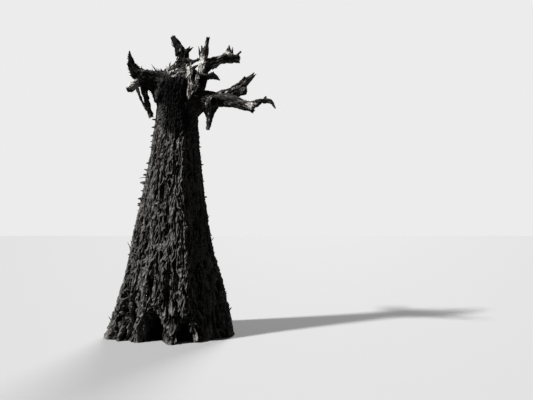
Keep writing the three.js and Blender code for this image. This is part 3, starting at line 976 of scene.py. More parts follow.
def limb_surface(limb, hosts, around, along, rope_width):
    turn = around * 2 * math.pi
    tip_share = TIP_ROWS / (limb.rows + TIP_ROWS)
    body = np.clip(along / (1 - tip_share), 0, 1)
    inward = np.clip((along - (1 - tip_share)) / tip_share, 0, 1)
    line, radius, ahead, normal, side = limb.at(body)
    out = normal * np.cos(turn)[:, None] + side * np.sin(turn)[:, None]
    reach = limb.radius.mean() * (1 - 0.7 * inward)
    run = body * limb.length + radius * inward
    grain = np.stack([reach * np.cos(turn) + limb.offset, reach * np.sin(turn), run], -1)
    radius = radius * (1 + limb_swell(limb, turn, body, grain))
    smooth = line + out * radius[:, None]
    relief, shade_and_soot, tone = limb_relief(limb, grain, smooth, rope_width)
    thin = np.clip(radius / FULL_RELIEF_RADIUS, LEAST_RELIEF, 1) * limb.shape.rough
    width = (radius + relief * thin + collar_width(limb, hosts, smooth, radius)) * (1 - inward)
    shift, torn = limb_end(limb, turn, body, inward, radius, width)
    points = line + out * width[:, None] + ahead * shift[:, None]
    points[:, 1] = line[:, 1] + (points[:, 1] - line[:, 1]) * limb.shape.flat
    # sooty wood and painted shadow: the black places darken the tone and draw the colour towards the
    # crevices' black
    black = blackness(points)
    bare = paleness(points)
    pale = np.maximum(bare, streaked(grain, limb.shape.streaks) * (1 - black))
    shade_and_soot = np.maximum(shade_and_soot, torn) * (1 - 0.6 * bare)
    shade_and_soot = np.maximum(shade_and_soot, SOOT_AND_SHADOW_DEPTH * black)
    # painted shade: the deeper into a worn hollow, the blacker
    if limb.name in HOLLOWS:
        points, depth = worn_hollow(points, ahead, *HOLLOWS[limb.name])
        shade_and_soot = np.maximum(shade_and_soot, depth)
    return points, {"shade_and_soot": shade_and_soot, "tone": tone * (1 - black), "pale": pale, "grain": grain}


def add_limb(limb, hosts, material, rope_width, *nodes):
    rows = limb.rows + TIP_ROWS
    points, values = limb_surface(limb, hosts, *sheet_shares(limb.sides, rows), rope_width)
    obj = wrapped_sheet(limb.name + "_shape", limb.sides, rows, points, values, material)
    keep_piece(obj, limb.shape.finish, *nodes)


def limbs_of(shapes):
    return [Limb(name, shape) for name, shape in shapes.items()]


# Flakes, fibres and splinters
TONE_STEP = 0.618  # from one copy's tone to the next, which spreads the tones evenly
TONE_LOW = 0.03
TONE_SPAN = 0.85
GRAIN_STEPS = (37.0, 53.0)  # from one copy's place in the grain to the next, across and across
GRAIN_LIMITS = (900, 700)
ROOT_SHADE = 0.9  # how dark the painted shade at a copy's root is, where it meets the surface it grows from
ROOT_FADE = 1.5
CREASE_ANGLE = 50  # degrees, past which an edge of a copy stays sharp
UP = np.array([0, 0, 1.0])


def model_blade(width, thickness, steps):
    """The corners, in millimetres, and faces of a blade that stands on the origin and bends to +Y.

    Each step is how far the end is drawn out along +Z and +Y, and how much it narrows."""
    clear_selection()
    (rise, bend, share), *later = steps
    bpy.ops.mesh.primitive_cube_add(size=1, location=(0, 0, rise * MM / 2))
    obj = bpy.context.object
    obj.scale = (width * MM, thickness * MM, rise * MM)
    bpy.ops.object.transform_apply(location=True, rotation=False, scale=True)
    bpy.ops.object.mode_set(mode="EDIT")
    bpy.ops.mesh.select_mode(type="FACE")
    bpy.ops.mesh.select_all(action="DESELECT")
    bpy.ops.object.mode_set(mode="OBJECT")
    for face in obj.data.polygons:
        face.select = face.normal.z > 0.5
    bpy.ops.object.mode_set(mode="EDIT")
    middle = Vector((0, 0, rise * MM))
    for rise, bend, share in later:
        step = Vector((0, bend * MM, rise * MM))
        bpy.ops.mesh.extrude_region_move(TRANSFORM_OT_translate={"value": step})
        middle += step
        bpy.ops.transform.resize(value=(share, share, 1), center_override=middle)
    bpy.ops.object.mode_set(mode="OBJECT")
    corners = np.array([corner.co for corner in obj.data.vertices]) / MM
    faces = [tuple(face.vertices) for face in obj.data.polygons]
    bpy.data.objects.remove(obj)
    return corners, faces


def dealt_out(blade, places):
    """The points, faces, tones and grain of copies of a blade.

    A place is a root, the ways of the blade's three axes, and three scales."""
    corners, faces = blade
    all_points, all_faces, tones, grains = [], [], [], []
    for number, (root, axes, scales) in enumerate(places):
        local = corners * scales
        all_points.append(np.array(root) + local @ np.array(axes))
        all_faces += [tuple(i + number * len(corners) for i in face) for face in faces]
        tones.append(np.full(len(corners), TONE_LOW + TONE_SPAN * (number * TONE_STEP % 1)))
        moved = [number * step % limit for step, limit in zip(GRAIN_STEPS, GRAIN_LIMITS)]
        grains.append(local + (*moved, 0))
    return np.concatenate(all_points), all_faces, np.concatenate(tones), np.concatenate(grains)


def add_copies(name, blade, places, material, slot, pale=0, soot_and_shadow_share=1):
    """One mesh of many copies of a blade.

    pale is how pale all of them are, or each, and the last setting is how far they darken in the places drawn
    black, as sooty wood and painted shadow."""
    points, faces, tones, grains = dealt_out(blade, places)
    mesh = bpy.data.meshes.new(name)
    mesh.from_pydata((points * MM).tolist(), [], faces)
    obj = bpy.data.objects.new(name, mesh)
    bpy.context.scene.collection.objects.link(obj)
    risen = blade[0][:, 2] / blade[0][:, 2].max()
    black = soot_and_shadow_share * blackness(points)
    worn = np.repeat(np.broadcast_to(pale, len(places)), len(risen))
    bare = np.maximum(paleness(points), worn * (1 - black))
    # painted shade at each copy's root, less of it on pale wood
    shaded = np.tile(ROOT_SHADE * (1 - risen) ** ROOT_FADE, len(places)) * (1 - 0.7 * bare)
    write_values(mesh, "shade_and_soot", np.maximum(shaded, SOOT_AND_SHADOW_DEPTH * black))
    write_values(mesh, "tone", tones * (1 - black))
    write_values(mesh, "pale", bare)
    write_values(mesh, "grain", grains)
    mesh.materials.append(material)
    clear_selection()
    bpy.context.view_layer.objects.active = obj
    obj.select_set(True)
    bpy.ops.object.mode_set(mode="EDIT")
    bpy.ops.mesh.select_all(action="SELECT")
    bpy.ops.mesh.normals_make_consistent(inside=False)
    bpy.ops.object.mode_set(mode="OBJECT")
    bpy.ops.object.shade_smooth_by_angle(angle=math.radians(CREASE_ANGLE))
    keep_piece(obj, slot)


def unit(vector):
    return vector / np.linalg.norm(vector)


def axes_along(way, outward):
    """Three axes at right angles: across the blade, the way it bends, and the way it points."""
    way = unit(way)
    bend = unit(outward - way * (outward @ way))
    return np.array([np.cross(bend, way), bend, way])


# Blades: width, thickness, and the steps by which their end is drawn out
FLAKE = (26, 9, [(22, 0, 1), (24, 3, 0.9), (20, 5, 0.75), (12, 5, 0.45)])
KNOB = (27, 22, [(16, 0, 1.1), (15, 4, 0.9), (13, 6, 0.8), (10, 8, 0.5)])
THORN = (11, 9, [(28, 0, 1), (28, 3, 0.85), (26, 7, 0.8), (20, 10, 0.5)])
FIBRE = (13, 8, [(30, 0, 1), (32, -5, 1), (30, -6, 0.95), (26, -6, 0.85), (18, -4, 0.6)])
SPLINTER = (16, 11, [(24, 0, 1), (26, 2, 0.8), (22, 4, 0.65), (14, 3, 0.4)])

# Knobs and thorns that show at the trunk's sides: bearing, height, and length over a usual one's
SIDE_KNOBS = [
    (-171, 3305, 1.3), (-169, 3185, 1.1), (-171, 3060, 1.1), (-168, 2960, 0.8), (-170, 2860, 0.9),
    (-171, 2620, 1.0), (-169, 2495, 1.2), (-171, 2430, 1.2), (-168, 2300, 1.5), (-170, 2200, 1.0),
    (-169, 2080, 1.4), (-171, 1990, 1.2), (-168, 1945, 1.1), (-170, 1720, 1.0), (-169, 1640, 1.2),
    (-171, 1530, 1.0), (-172, 1380, 0.9), (-169, 1210, 1.0), (12, 2900, 0.8), (8, 2620, 1.0),
    (10, 2350, 0.7), (9, 2100, 0.9), (12, 1850, 0.7), (8, 1500, 0.9),
]
SIDE_THORNS = [(-170, 2392, 1.15), (-169, 2262, 0.8), (-171, 1846, 0.75), (-169, 1792, 0.6), (6, 2745, 0.5)]

# The seed of each piece that is dealt out by chance
SEEDS = {
    "bark_flakes": 7,
    "bough_flakes": 19,
    "bark_edge": 17,
    "torn_fibres": 11,
    "torn_splinters": 13,
    "splinters": 5,
}

# How copies are dealt out. A pair is the least and the most, and a share is of them all.
FLAKE_HEIGHTS = (150, 3150)
FLAKE_LENGTHS = (0.6, 1.2)
FLAKE_WIDTHS = (0.7, 1.2)
FLAKE_TILTS = (4, 24)  # degrees from the trunk
FLAKE_SWAY = 0.35
FLAKE_ROOT = 14  # how deep in the trunk a flake is rooted
HANGING_FLAKES = 0.6
GROWTH_TILTS = (50, 95)
HANGING_GROWTHS = 0.3
BOUGH_FLAKE_SPACING = 55
BOUGH_FLAKE_ROOT = 4
BOUGH_FLAKE_LEANS = (0.1, 1.0)  # outward, over along the bough
BOUGH_FLAKE_SWAYS = (-0.3, 0.3)
BOUGH_FLAKE_LENGTHS = (0.3, 0.75)
BOUGH_FLAKE_WIDTHS = (0.8, 1.6)
FULL_FLAKE_RADIUS = 90  # a bough this thick or more has flakes of full length
EDGE_STRAND_RISE = 60  # how far above the bark's edge its torn strands lie
EDGE_STRAND_ROOT = 6
EDGE_STRAND_CLIMBS = (-0.1, 0.7)  # upward, over round the trunk
EDGE_STRAND_WIDTHS = (0.8, 1.5)
EDGE_STRAND_LENGTHS = (0.5, 1.2)
EDGE_STRAND_PALENESS = (0, 0.2)
FRINGE_TURN = (80, 330)  # bearings between which torn fibres thatch the head
FRINGE_LEVELS = (3990, 4270)
FRINGE_ROOT = 6
FRINGE_WIDTHS = (0.8, 2.1)
UPRIGHT_FIBRES = 0.07
COMBED_FIBRES = 0.5  # with the upright ones
LONG_FIBRES = 0.8  # with both, and the rest grow on the bough
DOME_SHARES = (0.2, 0.98)
PALE_FIBRES = (0.56, 0.84)  # draws between which a fibre turns from dark to pale
TORN_TURNS = (-1.4, 1.4)  # how far from the front of a torn slab its splinters grow, in radians
TORN_ROOT = 0.85  # where they are rooted, over the slab's radius
TORN_SWAYS = (-0.35, 0.35)
TORN_SCALES = (0.5, 1.2)
SPLINTER_ROOT = 26
SPLINTER_SHARES = (0.45, 0.92)  # where they are rooted at a broken end, over its radius
SPLINTER_LEANS = (-0.2, 0.25)
SPLINTER_SWAYS = (-0.15, 0.15)
SPLINTER_LENGTHS = (0.35, 0.8)
SPLINTER_WIDTHS = (0.7, 1.7)
HOLLOW_MARGIN = 1.2  # how far from a hollow's middle splinters stay, over its reach


def level_axes(bearing):
    """The level direction that a bearing gives, and the one a quarter turn on."""
    out = np.array([math.cos(bearing), math.sin(bearing), 0])
    return out, np.array([-out[1], out[0], 0])


def in_trunk(bearing, height, depth):
    """The point this deep under the trunk's surface."""
    x, y = trunk_middle(height)
    out, _ = level_axes(bearing)
    return np.array([x, y, height]) + out * (trunk_radius(bearing, height) - depth)


def flake_place(random, bearing, height, length, tilt, downward):
    out, side = level_axes(bearing)
    way = math.sin(tilt) * out + math.cos(tilt) * (-UP if downward else UP)
    way = way + random.uniform(-FLAKE_SWAY, FLAKE_SWAY) * side
    scales = (length * random.uniform(*FLAKE_WIDTHS), length, length)
    return in_trunk(bearing, height, FLAKE_ROOT), axes_along(way, out), scales


def add_flakes(material, count):
    """Strips of bark that have come loose at one end."""
    random = np.random.default_rng(SEEDS["bark_flakes"])
    places = []
    for _ in range(count):
        height = random.uniform(*FLAKE_HEIGHTS)
        length = random.uniform(*FLAKE_LENGTHS) * (1.3 - 0.5 * height / NECK_HEIGHT)
        tilt = math.radians(random.uniform(*FLAKE_TILTS))
        bearing = random.uniform(0, 2 * math.pi)
        downward = random.random() < HANGING_FLAKES
        places.append(flake_place(random, bearing, height, length, tilt, downward))
    add_copies("bark_flakes", model_blade(*FLAKE), places, material, BARK)


def add_side_growths(name, blade, spots, material):
    """Knobs or thorns that stand out where the trunk's sides turn away."""
    random = np.random.default_rng(len(spots))
    places = []
    for bearing, height, length in spots:
        tilt = math.radians(random.uniform(*GROWTH_TILTS))
        downward = random.random() < HANGING_GROWTHS
        places.append(flake_place(random, math.radians(bearing), height, length, tilt, downward))
    add_copies(name, model_blade(*blade), places, material, BARK)


def add_bough_flakes(limbs, material, spacing):
    """Small flakes that stand up from the bark of the boughs, about this far apart."""
    random = np.random.default_rng(SEEDS["bough_flakes"])
    places = []
    for limb in limbs:
        for _ in range(round(2 * math.pi * limb.radius.mean() * limb.length / spacing**2)):
            row = random.integers(2, limb.rows - 1)
            turn = random.uniform(0, 2 * math.pi)
            out = limb.normal[row] * math.cos(turn) + limb.side[row] * math.sin(turn)
            root = limb.line[row] + out * (limb.radius[row] - BOUGH_FLAKE_ROOT)
            lean = out * random.uniform(*BOUGH_FLAKE_LEANS)
            way = limb.ahead[row] + lean + random.uniform(*BOUGH_FLAKE_SWAYS, 3)
            length = random.uniform(*BOUGH_FLAKE_LENGTHS) * min(1, limb.radius[row] / FULL_FLAKE_RADIUS)
            places.append((root, axes_along(way, out), (random.uniform(*BOUGH_FLAKE_WIDTHS), 1, length)))
    add_copies("bough_flakes", model_blade(*SPLINTER), places, material, BARK)


def dome_place(turn, share):
    """A point on the trunk's rounded head, at this share of its radius from the axis."""
    over = math.sqrt(1 - max(0, (share - HEAD_TIP_SHARE) / (1 - HEAD_TIP_SHARE)) ** 2)
    return in_trunk(turn, HEAD_SHOULDER + (TRUNK_HEIGHT - HEAD_SHOULDER) * over, 0)


def add_bark_edge(material, count):
    """Torn strands that lie round the trunk's head, where its bark ends."""
    random = np.random.default_rng(SEEDS["bark_edge"])
    places = []
    paleness_of = []
    for _ in range(count):
        turn = random.uniform(0, 2 * math.pi)
        height = random.uniform(*BARE_HEIGHT) + EDGE_STRAND_RISE
        root = in_trunk(turn, height, EDGE_STRAND_ROOT)
        out, side = level_axes(turn)
        way = side + random.uniform(*EDGE_STRAND_CLIMBS) * UP + 0.1 * out
        scales = (random.uniform(*EDGE_STRAND_WIDTHS), 1.3, random.uniform(*EDGE_STRAND_LENGTHS))
        if random.random() > blackness(root[None])[0]:
            places.append((root, axes_along(way, out), scales))
            paleness_of.append(random.uniform(*EDGE_STRAND_PALENESS))
    add_copies("bark_edge", model_blade(*FIBRE), places, material, WEATHERED, pale=paleness_of)


def fringe_fibre(random, turn, on_bough):
    """The root of a torn fibre, the way that it points, and its length over a usual one's."""
    out, side = level_axes(turn)
    kind = random.random()
    length = random.uniform(0.6, 1.2)
    if kind < UPRIGHT_FIBRES:
        root = dome_place(turn, math.sqrt(random.uniform(*DOME_SHARES)))
        way = 0.5 * out + side * random.uniform(-0.2, 0.8) + 0.9 * UP
        length = random.uniform(0.4, 0.9)
    elif kind < COMBED_FIBRES:
        root = dome_place(turn, math.sqrt(random.uniform(*DOME_SHARES)))
        way = unit(on_bough + 40 * UP - root) + side * random.uniform(0.5, 1.0) + out * random.uniform(0, 0.2)
    elif kind < LONG_FIBRES:
        root = dome_place(turn, random.uniform(0.55, 0.95))
        way = unit(on_bough + 30 * UP - root) + side * random.uniform(0.3, 0.7) + 0.15 * out
        length = random.uniform(1.2, 2.0)
    else:
        root = on_bough
        way = UP - 0.4 * out + side * random.uniform(0.2, 1.1) + out * random.uniform(0, 0.3)
    return root, way, length


def add_fringe(material, count):
    """Torn fibres that are combed up over the head of the trunk to the foot of the top bough."""
    random = np.random.default_rng(SEEDS["torn_fibres"])
    bough = Limb("top_bough", LIMBS["top_bough"])
    places = []
    paleness_of = []
    for _ in range(count):
        turn = math.radians(random.uniform(*FRINGE_TURN))
        out, _ = level_axes(turn)
        row = np.argmin(np.abs(bough.line[:, 2] - random.uniform(*FRINGE_LEVELS)))
        on_bough = bough.line[row] + out * (bough.radius[row] + 4)
        root, way, length = fringe_fibre(random, turn, on_bough)
        axes = axes_along(way, out + 0.6 * UP)
        places.append((root - FRINGE_ROOT * out, axes, (random.uniform(*FRINGE_WIDTHS), 1.4, length)))
        paleness_of.append(smoothstep(*PALE_FIBRES, random.uniform(0, 1)))
    add_copies("torn_fibres", model_blade(*FIBRE), places, material, WEATHERED, pale=paleness_of, soot_and_shadow_share=0)


def in_hollow(point):
    return any(lengths((point - middle) / reach) < HOLLOW_MARGIN for middle, reach in HOLLOWS.values())


def add_torn_splinters(limbs, material, spacing):
    """Pale splinters along the torn slabs, about this far apart."""
    random = np.random.default_rng(SEEDS["torn_splinters"])
    places = []
    paleness_of = []
    for limb in limbs:
        for _ in range(round(limb.length * limb.radius.mean() / spacing**2)):
            row = random.integers(2, limb.rows - 2)
            turn = random.uniform(*TORN_TURNS)
            out = np.array([math.sin(turn), -math.cos(turn), 0])
            deep = np.array([1, limb.shape.flat, 1])
            root = limb.line[row] + out * deep * limb.radius[row] * TORN_ROOT
            way = limb.ahead[row] * random.choice((-1, 1)) + random.uniform(*TORN_SWAYS, 3) + 0.12 * out
            scales = (random.uniform(*TORN_SCALES), 0.9, random.uniform(*TORN_SCALES))
            if not in_hollow(root):
                places.append((root, axes_along(way, out), scales))
                paleness_of.append(limb.shape.streaks * random.uniform(*TORN_SCALES))
    blade = model_blade(*SPLINTER)
    add_copies("torn_splinters", blade, places, material, BLEACHED, pale=paleness_of, soot_and_shadow_share=0)


def add_splinters(limbs, material, spacing):
    """Splinters round the broken ends of the limbs, about this far apart."""
    random = np.random.default_rng(SEEDS["splinters"])
    places = []
    for limb in limbs:
        if not limb.shape.broken or limb.name in HOLLOWS:
            continue
        end, way, radius = limb.line[-1], limb.ahead[-1], limb.radius[-1]
        for _ in range(round(2 * math.pi * radius / spacing)):
            turn = random.uniform(0, 2 * math.pi)
            out = limb.normal[-1] * math.cos(turn) + limb.side[-1] * math.sin(turn)
            root = end + out * radius * random.uniform(*SPLINTER_SHARES) - way * SPLINTER_ROOT
            lean = way + out * random.uniform(*SPLINTER_LEANS) + random.uniform(*SPLINTER_SWAYS, 3)
            length = random.uniform(*SPLINTER_LENGTHS) * (0.4 + limb.shape.broken / 40)
            places.append((root, axes_along(lean, out), (random.uniform(*SPLINTER_WIDTHS), 1.2, length)))
    add_copies("splinters", model_blade(*SPLINTER), places, material, WEATHERED, pale=0.1)


# Materials
def linear(code):
    """The linear colour of an sRGB hex value."""
    parts = [int(code[i : i + 2], 16) / 255 for i in (1, 3, 5)]
    return [p / 12.92 if p <= 0.04045 else ((p + 0.055) / 1.055) ** 2.4 for p in parts] + [1.0]


def node(material, kind, inputs=None, **settings):
    """Adds a node with its settings, and links or sets its inputs."""
    made = material.node_tree.nodes.new(kind)
    for key, value in settings.items():
        setattr(made, key, value)
    for key, value in (inputs or {}).items():
        socket = made.inputs[key]
        if isinstance(value, bpy.types.NodeSocket):
            material.node_tree.links.new(value, socket)
        else:
            socket.default_value = value
    return made


def new_material(name):
    material = bpy.data.materials.new(name)
    material.use_nodes = True
    material.node_tree.nodes.clear()
    return material


FIBRE_WIDTH = 6  # millimetres: wood fibre is finer, and is drawn as coarse as it needs to show
DUST_WIDTH = 50
FIBRE_STRETCH = 0.14  # a streak's width over its length
FIBRE_RELIEF = 0.006  # metres
TONE_GAIN = 1.8
LEAST_TONE = 0.1
GLOSS = 0.12  # dead wood and bark hardly shine
BARK_ROUGHNESS = 0.95
WOOD_ROUGHNESS = 0.9

# The range of a pattern that counts, and the shades that it is drawn out to
FIBRE_SHADES = ((0.4, 0.72), (0.5, 2.6))
DUST_SHADES = ((0.35, 0.65), (0.7, 1.3))
WORN_SHADES = ((0.35, 0.6), (0.7, 1.15))


def point_value(material, name, output):
    return node(material, "ShaderNodeAttribute", attribute_name=name).outputs[output]


def ramp(material, value, given, wanted):
    """A value that runs over the wanted pair while another runs over the given one."""
    inputs = {
        "Value": value,
        "From Min": given[0],
        "From Max": given[1],
        "To Min": wanted[0],
        "To Max": wanted[1],
    }
    return node(material, "ShaderNodeMapRange", inputs).outputs[0]


def speckle(material, place, width, detail, roughness):
    inputs = {"Vector": place, "Scale": 1 / width, "Detail": detail, "Roughness": roughness}
    return node(material, "ShaderNodeTexNoise", inputs).outputs["Fac"]


def times(material, first, second):
    return node(material, "ShaderNodeMath", {0: first, 1: second}, operation="MULTIPLY").outputs[0]


def scaled_colour(material, colour, level):
    inputs = {0: colour[:3], "Scale": level}
    return node(material, "ShaderNodeVectorMath", inputs, operation="SCALE").outputs[0]


def mixed_colour(material, share, first, second):
    return node(material, "ShaderNodeMix", {0: share, 6: first, 7: second}, data_type="RGBA").outputs[2]


def tree_material(name, crevice_colour, face_colour, worn_colour, roughness):
    """Dead wood or bark: black in its crevices, as painted shade, and in its black places, as sooty wood and
    painted shadow; dusty grey on its faces and pale where it is worn or torn.
    """
    material = new_material(name)
    grain = point_value(material, "grain", "Vector")
    tone = point_value(material, "tone", "Fac")
    stretch = {0: grain, 1: (1, 1, FIBRE_STRETCH)}
    stretched = node(material, "ShaderNodeVectorMath", stretch, operation="MULTIPLY").outputs[0]
    fibres = speckle(material, stretched, FIBRE_WIDTH, detail=4.0, roughness=0.62)
    dust = speckle(material, grain, DUST_WIDTH, detail=3.0, roughness=0.55)
    toned = {0: tone, 1: TONE_GAIN, 2: LEAST_TONE}
    shade = node(material, "ShaderNodeMath", toned, operation="MULTIPLY_ADD").outputs[0]
    fibre_shade = ramp(material, fibres, *FIBRE_SHADES)
    dust_shade = ramp(material, dust, *DUST_SHADES)
    level = times(material, times(material, shade, fibre_shade), dust_shade)
    face = scaled_colour(material, face_colour, level)
    bare = scaled_colour(material, worn_colour, ramp(material, fibres, *WORN_SHADES))
    lit = mixed_colour(material, point_value(material, "pale", "Fac"), face, bare)
    colour = mixed_colour(material, point_value(material, "shade_and_soot", "Fac"), lit, crevice_colour)
    dull = ramp(material, fibres, (0.3, 0.7), (roughness - 0.1, 1.0))
    raised = {"Height": fibres, "Strength": 0.6, "Distance": FIBRE_RELIEF}
    bump = node(material, "ShaderNodeBump", raised).outputs[0]
    shader = node(
        material, "ShaderNodeBsdfPrincipled",
        {"Base Color": colour, "Roughness": dull, "Normal": bump, "Specular IOR Level": GLOSS},
    )
    node(material, "ShaderNodeOutputMaterial", {"Surface": shader.outputs[0]})
    return material


def furrowed_bark():
    """Dead corky bark, split by age into ropes, with painted shade that turns the clefts between them nearly
    black.
    """
    look = bpy.context.scene.quiver_look
    colours = (look.crevice_colour, look.bark_colour, look.worn_colour)
    return tree_material("furrowed_bark", *colours, roughness=BARK_ROUGHNESS)


def fibrous_grey_wood():
    """Soft fibrous wood after years of sun and wind: matt grey, with long cracks and silvery streaks."""
    look = bpy.context.scene.quiver_look
    colours = (look.crevice_colour, look.wood_colour, look.torn_colour)
    return tree_material("fibrous_grey_wood", *colours, roughness=WOOD_ROUGHNESS)


def sun_bleached_wood():
    """The inner wood where it has been torn open: dry and pale, with a coarse pulled grain."""
    look = bpy.context.scene.quiver_look
    colours = (look.crevice_colour, look.torn_shade_colour, look.torn_colour)
    return tree_material("sun_bleached_wood", *colours, roughness=WOOD_ROUGHNESS)


FINISHES = {BARK: furrowed_bark, WEATHERED: fibrous_grey_wood, BLEACHED: sun_bleached_wood}


def finish_of(slot):
    """The material of a finish, made when it is first asked for."""
    make = FINISHES[slot]
    return bpy.data.materials.get(make.__name__) or make()


# Stage
CAMERA_PLACE = (1.472, -8.094, 1.5)  # metres
CAMERA_PITCH = 3.865  # degrees upwards
LENS = 35.0  # millimetres, as the sensor's width is
SENSOR = 36.0
KEY_WIDTH = 5.0  # degrees across, so shadows have a slightly soft edge
BACK_LIGHT = (84.0, 35.0, 20.0, 2.4)  # bearing, height, width and power
FLOOR_RADIUS = 3000  # metres, so its edge lies at the horizon
FLOOR_DROP = 0.002  # metres below the tree's foot
FLOOR_CORNERS = 96
SUN_DISTANCE = 10  # metres


def add_camera():
    data = bpy.data.cameras.new("camera")
    camera = bpy.data.objects.new("camera", data)
    bpy.context.scene.collection.objects.link(camera)
    data.lens = LENS
    data.sensor_width = SENSOR
    camera.location = CAMERA_PLACE
    camera.rotation_euler = (math.radians(90 + CAMERA_PITCH), 0, 0)
    bpy.context.scene.camera = camera


def add_sun(name, bearing, height, width, power):
    """A distant light. In degrees, bearing and height tell where it stands, and width how wide it is."""
    data = bpy.data.lights.new(name, "SUN")
    data.angle = math.radians(width)
    data.energy = power
    light = bpy.data.objects.new(name, data)
    bpy.context.scene.collection.objects.link(light)
    turn, rise = math.radians(bearing), math.radians(height)
    towards = Vector((math.cos(turn) * math.cos(rise), math.sin(turn) * math.cos(rise), math.sin(rise)))
    light.location = SUN_DISTANCE * towards
    light.rotation_euler = towards.to_track_quat("Z", "Y").to_euler()


def add_floor(colour):
    clear_selection()
    bpy.ops.mesh.primitive_circle_add(vertices=FLOOR_CORNERS, radius=FLOOR_RADIUS, fill_type="NGON")
    floor = bpy.context.object
    floor.name = "floor"
    floor.location.z = -FLOOR_DROP
    floor.visible_diffuse = False
    material = new_material("pale_floor")
    shader = node(material, "ShaderNodeBsdfPrincipled", {"Base Color": colour, "Roughness": 0.9})
    node(material, "ShaderNodeOutputMaterial", {"Surface": shader.outputs[0]})
    floor.data.materials.append(material)


def add_world(backdrop, fill):
    """A pale backdrop for the camera, and a weaker even light on the tree."""
    world = bpy.data.worlds.new("studio")
    bpy.context.scene.world = world
    world.use_nodes = True
    world.node_tree.nodes.clear()
    seen = node(world, "ShaderNodeBackground", {"Color": backdrop})
    soft = node(world, "ShaderNodeBackground", {"Color": (fill, fill, fill, 1)})
    path = node(world, "ShaderNodeLightPath")
    inputs = {0: path.outputs["Is Camera Ray"], 1: soft.outputs[0], 2: seen.outputs[0]}
    both = node(world, "ShaderNodeMixShader", inputs)
    node(world, "ShaderNodeOutputWorld", {"Surface": both.outputs[0]})


# Settings
class QuiverBark(bpy.types.PropertyGroup):
    """Sizes of the bark."""

    rope_width: FloatProperty(
        name="Rope width", description="From one rope of bark to the next, half way up the trunk",
        default=0.064, min=0.02, unit="LENGTH", subtype="DISTANCE",
    )
    rope_height: FloatProperty(
        name="Rope height", description="How far a rope stands out of its crevices, half way up the trunk",
        default=0.048, min=0.0, unit="LENGTH", subtype="DISTANCE",
    )
    flakes: IntProperty(name="Flakes", description="Loose strips of bark on the trunk", default=300, min=1)


class QuiverWood(bpy.types.PropertyGroup):
    """Sizes of the torn wood."""

    fibres: IntProperty(name="Fibres", description="Torn fibres that thatch the head", default=520, min=1)
    edge_strands: IntProperty(
        name="Strands", description="Torn strands round the edge of the bark", default=90, min=1,
    )
    splinter_spacing: FloatProperty(
        name="Splinter spacing", description="From one splinter to the next round a broken end",
        default=0.026, min=0.005, unit="LENGTH", subtype="DISTANCE",
    )


def colour_property(name, description, code):
    """A setting that holds a colour."""
    return FloatVectorProperty(
        name=name, description=description, default=linear(code), size=4, min=0, max=1, subtype="COLOR",
    )


class QuiverLook(bpy.types.PropertyGroup):
    """Colours of the tree and its stage."""

    # the black of painted shade in crevices, hollows and folds, and of sooty wood and painted shadow
    crevice_colour: colour_property("Crevices", "Bottom of cracks and hollows", "#050505")
    bark_colour: colour_property("Bark", "Outer face of the ropes of bark", "#5c5a58")
    worn_colour: colour_property("Worn bark", "Bark where it is rubbed bare", "#b9b5ae")
    wood_colour: colour_property("Wood", "Weathered wood", "#3f3d3b")
    torn_colour: colour_property("Torn wood", "Inner wood that has bleached", "#e6e3dc")
    torn_shade_colour: colour_property("Old tears", "Torn wood that has greyed", "#6a6865")
    floor_colour: colour_property("Floor", "Pale floor", "#b2b2b2")
    backdrop_colour: colour_property("Backdrop", "Pale backdrop", "#ececec")


class QuiverLight(bpy.types.PropertyGroup):
    """The key light and the fill."""

    bearing: FloatProperty(
        name="Bearing", description="Where the key light stands, round from +X",
        default=math.radians(206), subtype="ANGLE", unit="ROTATION",
    )
    height: FloatProperty(
        name="Height", description="How high the key light stands",
        default=math.radians(40), subtype="ANGLE", unit="ROTATION",
    )
    power: FloatProperty(name="Power", description="Strength of the key light", default=5.6, min=0)
    fill: FloatProperty(name="Fill", description="Strength of the even light", default=0.06, min=0)


# Operators
class QUIVER_OT_trunk(bpy.types.Operator):
    """Builds the trunk with its ropes of bark, its clefts and the hollows at its foot"""

    bl_idname = "quiver.trunk"
    bl_label = "Trunk"

    def execute(self, context):
        bark = context.scene.quiver_bark
        add_trunk(finish_of(BARK), bark.rope_width / MM, bark.rope_height / MM)
        return {"FINISHED"}


class QUIVER_OT_boughs(bpy.types.Operator):
    """Builds the boughs, horns, prongs and stubs of the crown, each over its own solid"""

    bl_idname = "quiver.boughs"
    bl_label = "Boughs"

    def execute(self, context):
        rope_width = context.scene.quiver_bark.rope_width / MM
        hosts = [outside_trunk]
        for limb in limbs_of(LIMBS):
            add_limb(limb, hosts, finish_of(limb.shape.finish), rope_width, limb.name)
            hosts.append(limb.outside)
        return {"FINISHED"}


class QUIVER_OT_torn_wood(bpy.types.Operator):
    """Builds the torn slabs on the front of the head"""

    bl_idname = "quiver.torn_wood"
    bl_label = "Torn wood"

    def execute(self, context):
        rope_width = context.scene.quiver_bark.rope_width / MM
        slabs = limbs_of(TORN_WOOD)
        for limb in slabs:
            add_limb(limb, [], finish_of(limb.shape.finish), rope_width)
        spacing = context.scene.quiver_wood.splinter_spacing / MM
        add_torn_splinters(slabs, finish_of(BLEACHED), spacing)
        return {"FINISHED"}


class QUIVER_OT_twigs(bpy.types.Operator):
    """Builds the whiskers, nubs and split tips on the boughs"""

    bl_idname = "quiver.twigs"
    bl_label = "Twigs"

    def execute(self, context):
        rope_width = context.scene.quiver_bark.rope_width / MM
        for limb in limbs_of(TWIGS):
            add_limb(limb, [], finish_of(limb.shape.finish), rope_width)
        return {"FINISHED"}


